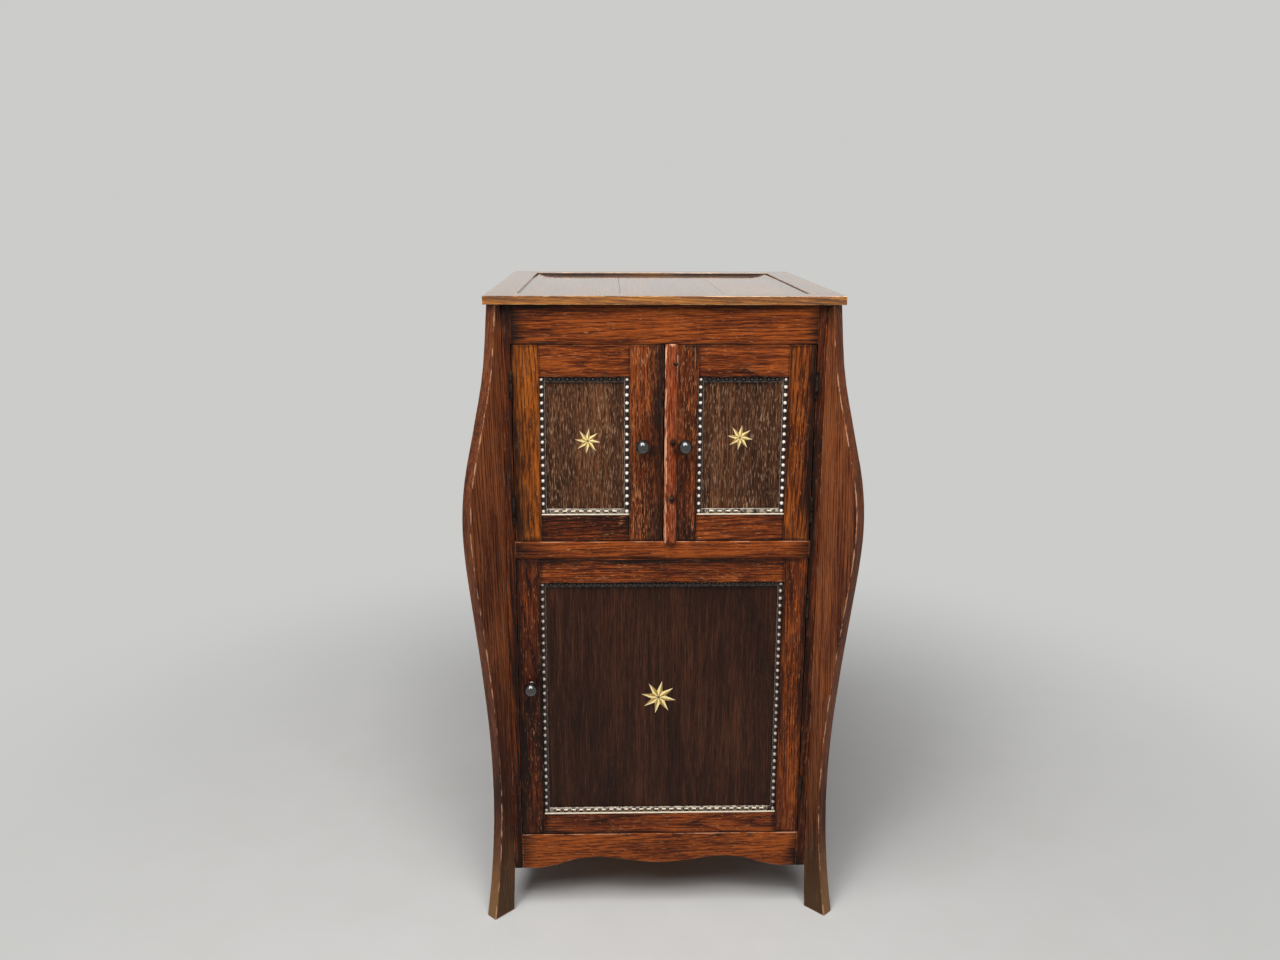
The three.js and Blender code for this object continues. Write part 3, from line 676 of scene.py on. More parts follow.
@dataclass(frozen=True)
class PaleFloor(Finish):
    """The plain pale studio floor, which fades into the pale surround away from the object.

    Attributes:
        fade: How far from the middle the fade starts and ends, in metres.
    """

    name: str = "pale_floor"
    slot: str = ""
    fade: Span = (0.45, 1.6)

    def build(self) -> bpy.types.Material:
        """Make the floor: lit near the object, and the surround's own tone far off.

        Returns:
            The new material.
        """
        tree = ShaderTree(self.name)
        place = tree.place()
        patch = tree.noise(place, 7.0, 6.0, 0.65)
        colour = tree.mix(tree.spread(patch), paint(202, 201, 198), paint(206, 205, 203))
        lit = tree.node("ShaderNodeBsdfPrincipled", {"Base Color": colour, "Roughness": 0.8})
        glow = tree.node("ShaderNodeEmission", {"Color": SURROUND, "Strength": 1.0})
        reach = {"Value": tree.away(place), "From Min": self.fade[0], "From Max": self.fade[1]}
        share = tree.node("ShaderNodeMapRange", reach, interpolation_type="SMOOTHSTEP")
        share = tree.math("MULTIPLY", share.outputs["Result"], seen_or_mirrored(tree.tree))
        blend = tree.node("ShaderNodeMixShader", {0: share, 1: lit.outputs[0], 2: glow.outputs[0]})
        output = tree.tree.nodes.new("ShaderNodeOutputMaterial")
        tree.tree.links.new(blend.outputs[0], output.inputs["Surface"])
        return tree.material


OAK = StainedWood(
    "stained_oak", "oak",
    dark=paint(36, 12, 4), middle=paint(94, 39, 13), light=paint(158, 77, 27),
    pore=paint(20, 7, 3), fleck=paint(206, 142, 92), worn=paint(200, 144, 110),
    ring_share=0.75,
    # Painted shadows of the two upper knobs, falling to the right of and below each, with some dirt.
    stains_and_shadows=((-13.0, -269.5, 738.0, 17.0), (20.0, -269.5, 738.0, 13.0)),
)
LEG_OAK = StainedWood(
    "leg_oak", "oak",
    dark=paint(42, 17, 10), middle=paint(90, 44, 24), light=paint(142, 80, 42),
    pore=paint(20, 7, 3), fleck=paint(190, 120, 78), worn=paint(184, 136, 106),
    ring=2.4, ring_share=0.8, fibre_share=0.8, fleck_share=0.4, grime_and_shade_share=0.7, foot_share=0.7,
)
PANEL_OAK = StainedWood(
    "dark_panel_oak", "dark_oak_panel",
    dark=paint(33, 16, 8), middle=paint(66, 37, 20), light=paint(118, 73, 44),
    pore=paint(22, 11, 5), fleck=paint(206, 166, 130), worn=paint(120, 92, 74),
    ring=3.4, ring_share=0.2, fleck_share=0.52, roughness=0.5, relief=0.25,
)
SMOOTH_PANEL_OAK = StainedWood(
    "smooth_panel_oak", "dark_oak_panel",
    dark=paint(27, 12, 6), middle=paint(46, 23, 13), light=paint(77, 43, 27),
    pore=paint(20, 9, 5), fleck=paint(90, 58, 42), worn=paint(110, 84, 66),
    ring=4.0, ring_share=0.25, fibre_share=0.8, pore_share=0.5, fleck_share=0.3,
    roughness=0.36, relief=0.1,
)
LID_OAK = StainedWood(
    "lid_oak", "oak",
    dark=paint(70, 36, 8), middle=paint(142, 82, 18), light=paint(188, 120, 40),
    pore=paint(54, 28, 10), fleck=paint(196, 146, 88), worn=paint(228, 178, 110),
    ring=4.4, roughness=0.26, specular=0.3, coat=1.0, relief=0.04,
)
INSIDE_WOOD = StainedWood(
    "inside_softwood", "inside_wood",
    dark=paint(96, 58, 34), middle=paint(144, 98, 62), light=paint(184, 138, 94),
    pore=paint(96, 62, 40), fleck=paint(190, 152, 112), worn=paint(180, 146, 112),
    ring=5.0, ring_share=0.6, pore_share=0.3, grime_and_shade_share=0.5, roughness=0.7, relief=0.12,
)
WORN_ASTRAGAL = StainedWood(
    "worn_astragal_wood", "worn_astragal",
    dark=paint(76, 26, 10), middle=paint(128, 52, 24), light=paint(176, 92, 50),
    pore=paint(40, 14, 8), fleck=paint(216, 142, 96), worn=paint(224, 166, 128),
    ring=3.0, fleck_share=0.5, grime_and_shade_share=0.7, roughness=0.34,
    # Real stains round the three screws, and a painted shadow of the right knob by the strip's right
    # edge.
    stains_and_shadows=(
        (16.0, -277.0, 862.0, 8.0), (13.5, -277.0, 750.0, 9.0),
        (12.0, -277.0, 668.0, 9.0), (19.0, -275.0, 738.0, 9.0),
    ),
)
HORN_WOOD = StainedWood(
    "horn_wood", "inside_wood",
    dark=paint(48, 30, 20), middle=paint(84, 56, 36), light=paint(118, 84, 56),
    pore=paint(34, 22, 15), fleck=paint(124, 92, 64), worn=paint(140, 108, 78),
    ring=4.0, ring_share=0.5, pore_share=0.4, grime_and_shade_share=0.5, roughness=0.55,
)
BLACK_POLISH = PolishedBlack()
STAR_INLAY = StarInlay()
BEAD_WOOD = BeadWood("bead_wood")
DARK_BEAD_WOOD = BeadWood("dark_bead_wood", rub=0.45)
BAIZE = Baize()
AGED_STEEL = AgedMetal(
    "tarnished_steel", "aged_steel", bright=paint(78, 68, 58), tarnished=paint(26, 20, 16),
    tarnish=0.75, metallic=0.95, roughness=0.34,
)
BRASS = AgedMetal("old_brass", "brass", bright=paint(176, 142, 78), tarnished=paint(128, 98, 54))
NICKEL = AgedMetal(
    "nickel_plate", "nickel", bright=paint(196, 190, 178), tarnished=paint(120, 106, 82),
    tarnish=0.35, roughness=0.16,
)
IRON = AgedMetal(
    "blackened_iron", "cast_iron", bright=paint(50, 50, 52), tarnished=paint(74, 54, 42),
    tarnish=0.35, metallic=0.55, roughness=0.5, relief=0.2,
)
SCREW = AgedMetal(
    "screw_steel", "aged_steel", bright=paint(64, 56, 50), tarnished=paint(22, 16, 14),
    tarnish=0.8, metallic=0.95, roughness=0.36,
)


# ---- Timber and meshes ----


class Grain(Enum):
    """The way a board's grain runs, with the turn that lays it along Z."""

    ALONG_X = ("Y", -90.0)
    ALONG_Y = ("X", 90.0)
    ALONG_Z = ("Z", 0.0)

    def turn(self) -> Matrix:
        """Give the turn that lays this grain along Z."""
        axis, degrees = self.value
        return Matrix.Rotation(math.radians(degrees), 4, axis)


@dataclass(frozen=True)
class Timber:
    """How one board was sawn from its log.

    Attributes:
        grain: The way the grain runs.
        seed: Picks this board's own figure.
        tone: Darker below 0 and lighter above it, about -1 to 1.
        heart: The way from the board's face to the log's heart.
        aside: How far to the side the heart lies, in millimetres; near 0 gives arched figure,
            and None picks a place by the seed.
        fleck: How thick the pale flecks lie, 0 to 1.
        gold: How far the tone turns from red-brown to golden, 0 to 1.
        rubbed: How far its arrises are rubbed pale, 0 to 1.
        rubbed_top: The same for the arrises that face up.
        low: How far the darkening, dirt and painted shade, reaches in from the low edge along X, Y
            and Z, in millimetres.
        high: The same from the high edges.
    """

    grain: Grain
    seed: int
    tone: float = 0.0
    heart: Triple = (0.0, 1.0, 0.0)
    aside: float | None = None
    fleck: float = 0.3
    gold: float = 0.0
    rubbed: float = 0.0
    rubbed_top: float = 0.0
    low: Triple = (4.0, 4.0, 4.0)
    high: Triple = (4.0, 4.0, 4.0)

    def log_space(self, centre: Vector) -> Matrix:
        """Give the matrix from the board's place to its place in the log.

        Args:
            centre: The board's middle.

        Returns:
            The matrix; its Z runs along the log.
        """
        chance = random.Random(self.seed)
        turn = self.grain.turn()
        heart = (turn.to_3x3() @ Vector(self.heart)).normalized()
        across = Vector((0, 0, 1)).cross(heart)
        if across.length < 0.1:
            across = Vector((1, 0, 0))
        tilt = chance.choice((-1, 1)) * chance.uniform(1.2, 3.4)
        lean = Matrix.Rotation(math.radians(tilt), 4, across)
        aside = self.aside
        if aside is None:
            aside = chance.choice((-1, 1)) * chance.uniform(35, 80)
        depth = heart * chance.uniform(0.035, 0.08) + across * aside * MM
        shift = Matrix.Translation(depth + Vector((0, 0, chance.uniform(0, 9))))
        return shift @ lean @ turn @ Matrix.Translation(-centre)


def number_layer(bm: Mesh, name: str) -> bmesh.types.BMLayerItem:
    """Give the layer of that name with a number for each vertex, made on first use."""
    layers = bm.verts.layers.float
    return layers.get(name) or layers.new(name)


def filled(bm: Mesh, name: str, value: float) -> Mesh:
    """Write one number on all of a mesh's vertices.

    Args:
        bm: The mesh.
        name: The layer's name.
        value: The number.

    Returns:
        The same mesh.
    """
    layer = number_layer(bm, name)
    for vert in bm.verts:
        vert[layer] = value
    return bm


def mark(bm: Mesh, timber: Timber) -> Mesh:
    """Write a board's grain, its ageing and its distances from the edges on all its vertices.

    Args:
        bm: The board's mesh, in place.
        timber: How the board was sawn and how it has aged.

    Returns:
        The same mesh.
    """
    names = ("grain", "ageing", "edge_low", "edge_high")
    layers = bm.verts.layers.float_vector
    grain, ageing, edge_low, edge_high = [layers.get(name) or layers.new(name) for name in names]
    low, high = reach_of(bm)
    space = timber.log_space((low + high) / 2)
    wear = number_layer(bm, "wear")
    bm.normal_update()
    for vert in bm.verts:
        vert[wear] *= timber.rubbed_top if vert.normal.z > 0.3 else timber.rubbed
        vert[grain] = space @ vert.co
        vert[ageing] = (timber.tone, timber.fleck, timber.gold)
        place = vert.co
        vert[edge_low] = [(place[i] - low[i]) / (timber.low[i] * MM) for i in range(3)]
        vert[edge_high] = [(high[i] - place[i]) / (timber.high[i] * MM) for i in range(3)]
    return bm


def reach_of(bm: Mesh) -> tuple[Vector, Vector]:
    """Give a mesh's lowest and highest corner.

    Args:
        bm: The mesh.

    Returns:
        The two corners.
    """
    places = [vert.co for vert in bm.verts]
    low = Vector([min(p[axis] for p in places) for axis in range(3)])
    high = Vector([max(p[axis] for p in places) for axis in range(3)])
    return low, high


def ease(bm: Mesh, width: float, sharp: float = ARRIS) -> Mesh:
    """Round off the sharp arrises in two strips, and mark the line between them as worn.

    Args:
        bm: The mesh.
        width: How far the rounding reaches, in millimetres.
        sharp: Edges that turn by more than this many degrees are rounded.

    Returns:
        The same mesh.
    """
    wear = number_layer(bm, "wear")
    limit = math.radians(sharp)
    closed = [edge for edge in bm.edges if len(edge.link_faces) == 2]
    edges = [edge for edge in closed if edge.calc_face_angle(0) > limit]
    made = bmesh.ops.bevel(
        bm, geom=edges, offset=width * MM, affect="EDGES", segments=2, profile=0.5, material=-1,
        clamp_overlap=True,
    )
    rounded = set(made["faces"])
    for vert in made["verts"]:
        if all(face in rounded for face in vert.link_faces):
            vert[wear] = 1.0
    return bm


def block(low: Vector, high: Vector) -> Mesh:
    """Make a rectangular block from its lowest and highest corner.

    Args:
        low: The lowest corner.
        high: The highest corner.

    Returns:
        The closed block.
    """
    bm = bmesh.new()
    bmesh.ops.create_cube(bm, size=1.0)
    bmesh.ops.scale(bm, vec=high - low, verts=bm.verts)
    bmesh.ops.translate(bm, vec=(low + high) / 2, verts=bm.verts)
    return bm


def spun(profile: Sequence[Span], steps: int) -> Mesh:
    """Turn a profile round Z.

    Args:
        profile: Radius and height of each point, in millimetres, from one end to the other.
        steps: The number of steps in the full turn.

    Returns:
        The closed turned mesh, standing on the origin.
    """
    bm = bmesh.new()
    points = [bm.verts.new((radius * MM, 0, height * MM)) for radius, height in profile]
    edges = [bm.edges.new(pair) for pair in zip(points, points[1:])]
    bmesh.ops.spin(
        bm, geom=points + edges, cent=(0, 0, 0), axis=(0, 0, 1), angle=math.tau, steps=steps,
        use_merge=True, use_duplicate=False,
    )
    bmesh.ops.remove_doubles(bm, verts=bm.verts, dist=1e-6)
    bmesh.ops.recalc_face_normals(bm, faces=bm.faces)
    return bm


def rod(start: Vector, end: Vector, radius: float, sides: int) -> Mesh:
    """Make a round rod between two places.

    Args:
        start: One end's middle.
        end: The other end's middle.
        radius: Its radius, in millimetres.
        sides: The number of flats round it.

    Returns:
        The closed rod.
    """
    bm = bmesh.new()
    width = radius * MM
    bmesh.ops.create_cone(
        bm, cap_ends=True, segments=sides, radius1=width, radius2=width, depth=(end - start).length
    )
    turn = (end - start).to_track_quat("Z", "Y").to_matrix().to_4x4()
    bmesh.ops.transform(bm, matrix=Matrix.Translation((start + end) / 2) @ turn, verts=bm.verts)
    return bm


def turned_front(bm: Mesh, place: Vector) -> Mesh:
    """Tip a mesh that stands on the origin over to the front, and move it to a place.

    Args:
        bm: The mesh.
        place: Where its origin goes.

    Returns:
        The same mesh.
    """
    turn = Matrix.Translation(place) @ Matrix.Rotation(math.pi / 2, 4, "X")
    bmesh.ops.transform(bm, matrix=turn, verts=bm.verts)
    return bm


def together(parts: Iterable[Mesh]) -> Mesh:
    """Put several meshes, with their attributes, into one and free them.

    Args:
        parts: The meshes.

    Returns:
        The one mesh.
    """
    whole = bmesh.new()
    for part in parts:
        carrier = bpy.data.meshes.new("carrier")
        part.to_mesh(carrier)
        part.free()
        whole.from_mesh(carrier)
        bpy.data.meshes.remove(carrier)
    return whole


def merged_copy(node: str) -> Mesh:
    """Copy a frame node's mesh, with its loose triangles merged into clean faces.

    Args:
        node: The frame node.

    Returns:
        The copy.
    """
    bm = bmesh.new()
    bm.from_mesh(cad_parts[node].data)
    bmesh.ops.remove_doubles(bm, verts=bm.verts, dist=1e-5)
    bmesh.ops.dissolve_limit(bm, angle_limit=math.radians(0.4), verts=bm.verts, edges=bm.edges)
    for layer in list(bm.loops.layers.uv):
        bm.loops.layers.uv.remove(layer)
    return bm


@dataclass
class Joiner:
    """Turns finished meshes into pieces of one body."""

    body: str

    def piece(
        self,
        name: str,
        bm: Mesh,
        finish: Finish,
        stands_for: Sequence[str] = (),
        smooth: float = SOFT,
    ) -> bpy.types.Object:
        """Make one piece, dressed and riding on its body.

        Args:
            name: The piece's name.
            bm: Its mesh, in place; it is freed.
            finish: Its finish.
            stands_for: The frame nodes that it replaces.
            smooth: Edges that turn by less than this many degrees are shaded smooth.

        Returns:
            The new object.
        """
        mesh = bpy.data.meshes.new(name)
        bm.to_mesh(mesh)
        bm.free()
        mesh.materials.append(finish.material())
        mesh.polygons.foreach_set("material_index", [0] * len(mesh.polygons))
        mesh.shade_smooth()
        mesh.set_sharp_from_angle(angle=math.radians(smooth))
        made = bpy.data.objects.new(name, mesh)
        bpy.context.scene.collection.objects.link(made)
        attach(made, self.body)
        if stands_for:
            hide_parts(*stands_for)
        LOG.info("%s on %s in %s: %d faces", name, self.body, finish.name, len(mesh.polygons))
        return made

    def board(
        self,
        name: str,
        spans: tuple[Span, Span, Span],
        timber: Timber,
        finish: Finish,
        stands_for: Sequence[str] = (),
        arris: float = 0.8,
    ) -> bpy.types.Object:
        """Make a plain board with softened arrises.

        Args:
            name: The piece's name.
            spans: Its reach along X, Y and Z, in millimetres.
            timber: How it was sawn.
            finish: Its finish.
            stands_for: The frame nodes that it replaces.
            arris: How far its arrises are rounded, in millimetres.

        Returns:
            The new object.
        """
        low = at(*[min(span) for span in spans])
        high = at(*[max(span) for span in spans])
        bm = mark(ease(block(low, high), arris), timber)
        return self.piece(name, bm, finish, stands_for, FLAT)

    def copied(
        self, node: str, finish: Finish, timber: Timber | None, arris: float, sharp: float = ARRIS
    ) -> bpy.types.Object:
        """Make a piece from a merged copy of a frame node, with softened arrises.

        Args:
            node: The frame node that is copied and replaced.
            finish: The piece's finish.
            timber: How it was sawn, or None for metal.
            arris: How far its arrises are rounded, in millimetres.
            sharp: Edges that turn by more than this many degrees are rounded.

        Returns:
            The new object.
        """
        bm = ease(merged_copy(node), arris, sharp)
        if timber:
            mark(bm, timber)
        return self.piece(f"{node}_dressed", bm, finish, [node], FLAT if timber else SOFT)


# ---- The carcass and its legs ----


@dataclass
class Carcass:
    """The fixed case: sides, rails, shaped apron, shelves, back and the four bowed legs."""

    half_width: float = 213.7
    front: float = -270.0
    board: float = 19.0
    frieze: Span = (889.0, 943.6)
    mid_rail: Span = (577.0, 603.0)
    joiner: Joiner = field(default_factory=lambda: Joiner("cabinet"))

    def build(self) -> None:
        """Build every piece of the case."""
        self.sides()
        self.rails()
        self.shelves()
        self.legs()

    def sides(self) -> None:
        """Build the two side boards."""
        for seed, (side, way) in enumerate((("left", 1.0), ("right", -1.0))):
            # The side boards are darker in tone and along their edges: dirt, and painted shade on
            # their front edges between the legs and the doors.
            timber = Timber(
                Grain.ALONG_Z, 11 + seed, -0.4, (way, 0.0, 0.0), low=(14, 20, 60), high=(14, 20, 30)
            )
            self.joiner.copied(f"side_board_{side}", OAK, timber, 0.6)

    def rails(self) -> None:
        """Build the frieze, the middle rail and the shaped apron."""
        across = (-self.half_width, self.half_width)
        depth = (self.front, self.front + self.board)
        # The frieze darkens along its top, a painted shadow of the lid's overhang, and towards its
        # ends.
        timber = Timber(
            Grain.ALONG_X, 21, 0.3, aside=38, fleck=0.1, gold=0.1, low=(22, 4, 5), high=(22, 4, 15)
        )
        spans = (across, depth, self.frieze)
        self.joiner.board("frieze_board", spans, timber, OAK, ["frieze_rail"])
        # The middle rail darkens towards its ends.
        timber = Timber(Grain.ALONG_X, 22, 0.55, rubbed_top=0.9, low=(60, 4, 6), high=(40, 4, 1.5))
        spans = (across, depth, self.mid_rail)
        self.joiner.board("middle_rail_board", spans, timber, OAK, ["mid_rail"], 1.0)
        timber = Timber(
            Grain.ALONG_X, 23, 0.5, fleck=0.2, gold=0.2, rubbed=0.5, rubbed_top=0.95,
            low=(24, 4, 2), high=(20, 4, 1.5),
        )
        self.joiner.copied("front_apron", OAK, timber, 1.0)

    def shelves(self) -> None:
        """Build the back, the bottom, the shelves, the divider and the boards round the works."""
        boards = (
            ("back_panel", Timber(Grain.ALONG_Z, 31, -0.3)),
            ("bottom_board", Timber(Grain.ALONG_X, 32, 0.0, LYING)),
            ("mid_shelf", Timber(Grain.ALONG_X, 33, 0.1, LYING)),
            ("record_shelf", Timber(Grain.ALONG_X, 34, 0.0, LYING)),
            ("record_divider", Timber(Grain.ALONG_Y, 35, 0.1, (1.0, 0.0, 0.0))),
        )
        for node, timber in boards:
            self.joiner.copied(node, INSIDE_WOOD, timber, 0.6)
        self.joiner.copied("horn_mouth_board", OAK, Timber(Grain.ALONG_X, 36, -0.3), 0.8)
        self.joiner.copied("motor_board", OAK, Timber(Grain.ALONG_X, 37, 0.0, LYING), 0.8)

    def legs(self) -> None:
        """Build the four bowed legs."""
        corners = (
            ("front_left", 1, 1), ("front_right", -1, 1),
            ("back_right", -1, -1), ("back_left", 1, -1),
        )
        for seed, (corner, x, y) in enumerate(corners):
            # Painted light: the right legs are made lighter than the left, as light from the right
            # front shows them. The legs darken at their tops, a painted shadow of the lid, and
            # towards the bottom.
            tone = 0.1 if x > 0 else 0.35
            timber = Timber(
                Grain.ALONG_Z, 41 + seed, tone, (x, y, 0.0), fleck=0.2, rubbed=0.7, rubbed_top=0.8,
                low=(1, 1, 460), high=(1, 1, 40),
            )
            self.joiner.copied(f"leg_{corner}", LEG_OAK, timber, 1.9)


# ---- The lid ----


@dataclass
class Lid:
    """The framed lid with its boarded panel, brass hinge and stay.

    Attributes:
        rail: The width of its four rails.
        field_x: The edges of the panel's three boards, from left to right.
        field_y, field_z: The reach of the panel's boards along Y and Z.
        gap: Half the gap between two boards.
        tongue_z: The reach of the tongue under the boards along Z.
        housed: How far the tongue stands in the rails.
        sag: How far the panel has sunk at its lowest place.
    """

    half: float = 250.0
    front: float = -279.0
    back: float = 270.0
    rail: float = 43.0
    height: Span = (944.0, 956.0)
    field_x: tuple[float, ...] = (-203.0, -61.5, 85.5, 203.0)
    field_y: Span = (-235.4, 225.8)
    field_z: Span = (952.0, 955.2)
    gap: float = 0.2
    tongue_z: Span = (949.2, 952.3)
    housed: float = 4.0
    sag: float = 4.4
    joiner: Joiner = field(default_factory=lambda: Joiner("lid"))
    hinge: Joiner = field(default_factory=lambda: Joiner("cabinet"))

    def build(self) -> None:
        """Build the lid's frame, its panel and its metalwork."""
        self.frame_rails()
        self.panel()
        self.metalwork()

    def frame_rails(self) -> None:
        """Build the four rails, the side ones between the front and back ones."""
        across = (-self.half, self.half)
        front_rail = (self.front, self.front + self.rail)
        back_rail = (self.back - self.rail, self.back)
        between = (front_rail[1], back_rail[0])
        left_rail = (-self.half, self.rail - self.half)
        right_rail = (self.half - self.rail, self.half)
        # The last column is how far the darkening reaches along Z: a little dirt at the joints, and
        # on the back rail painted shade over its faces, the shade behind the sagging panel.
        rails = (
            ("lid_front_rail", across, front_rail, Grain.ALONG_X, 0.5),
            ("lid_back_rail", across, back_rail, Grain.ALONG_X, 60.0),
            ("lid_left_rail", left_rail, between, Grain.ALONG_Y, 0.5),
            ("lid_right_rail", right_rail, between, Grain.ALONG_Y, 0.5),
        )
        for seed, (node, x, y, grain, dirt_and_shade_reach) in enumerate(rails):
            timber = Timber(
                grain, 51 + seed, 0.0, LYING, rubbed=0.9, rubbed_top=0.9,
                low=(1, 1, dirt_and_shade_reach), high=(1, 1, dirt_and_shade_reach),
            )
            self.joiner.board(f"{node}_board", (x, y, self.height), timber, LID_OAK, [node], 0.9)

    def panel(self) -> None:
        """Build the panel's three boards, sagging towards the back, and the tongue under them."""
        for index, (left, right) in enumerate(zip(self.field_x, self.field_x[1:])):
            low = at(left + self.gap, self.field_y[0], self.field_z[0])
            high = at(right - self.gap, self.field_y[1], self.field_z[1])
            tone = 0.1 * (index - 1)
            timber = Timber(Grain.ALONG_Y, 61 + index, tone, LYING, low=(1, 1, 1), high=(1, 1, 1))
            bm = mark(self.bent(ease(block(low, high), 0.5)), timber)
            self.joiner.piece(f"lid_panel_board_{index + 1}", bm, LID_OAK, ["lid_panel"], FLAT)
        edge = self.half - self.rail + self.housed
        low = at(-edge, self.front + self.rail - self.housed, self.tongue_z[0])
        high = at(edge, self.back - self.rail + self.housed, self.tongue_z[1])
        timber = Timber(Grain.ALONG_Y, 65, -0.5, LYING, low=(14, 14, 14), high=(14, 14, 14))
        bm = mark(self.bent(ease(block(low, high), 0.3)), timber)
        self.joiner.piece("lid_panel_tongue", bm, LID_OAK, ["lid_panel"], FLAT)

    def bent(self, bm: Mesh) -> Mesh:
        """Cut a board's edges of more than 50 mm into short ones and let it sag.

        Args:
            bm: The board's mesh, in place.

        Returns:
            The same mesh.
        """
        edges = [edge for edge in bm.edges if edge.calc_length() > 0.05]
        bmesh.ops.subdivide_edges(bm, edges=edges, cuts=11, use_grid_fill=True)
        for vert in bm.verts:
            vert.co.z -= self.sagged(vert.co.x / MM, vert.co.y / MM) * MM
        return bm

    def sagged(self, x: float, y: float) -> float:
        """Give how far the panel has sunk at a place, in millimetres.

        Args:
            x: The place across.
            y: The place along the depth.

        Returns:
            How far it has sunk, at most the whole sag.
        """
        left, right = self.field_x[0], self.field_x[-1]
        front, back = self.field_y
        along = min(max((y - front) / (back - front), 0.0), 1.0)
        across = min(max((x - left) / (right - left), 0.0), 1.0)
        return self.sag * along ** 1.6 * min(1.0, 1.6 * math.sin(math.pi * across) ** 0.3)

    def metalwork(self) -> None:
        """Build the long hinge and the quadrant stay."""
        self.hinge.copied("lid_hinge_fixed_leaf", BRASS, None, 0.3)
        self.joiner.copied("lid_hinge_moving_leaf", BRASS, None, 0.3)
        self.joiner.copied("lid_stay", BRASS, None, 0.3)


# ---- Doors ----


EYE = Vector((0.0, -0.9, 0.44))  # the way from the beading to someone who looks at it
# Where each row's pale crown faces: wear with a painted highlight towards the lamps. The top row has
# none and is painted black, a painted shadow under the top rail.
CROWNS = {
    "left": Vector((-0.4, -0.85, 0.34)),
    "right": Vector((0.0, -0.93, 0.36)),
    "bottom": Vector((0.0, -0.9, -0.2)) * 0.7,
    "top": None,
}


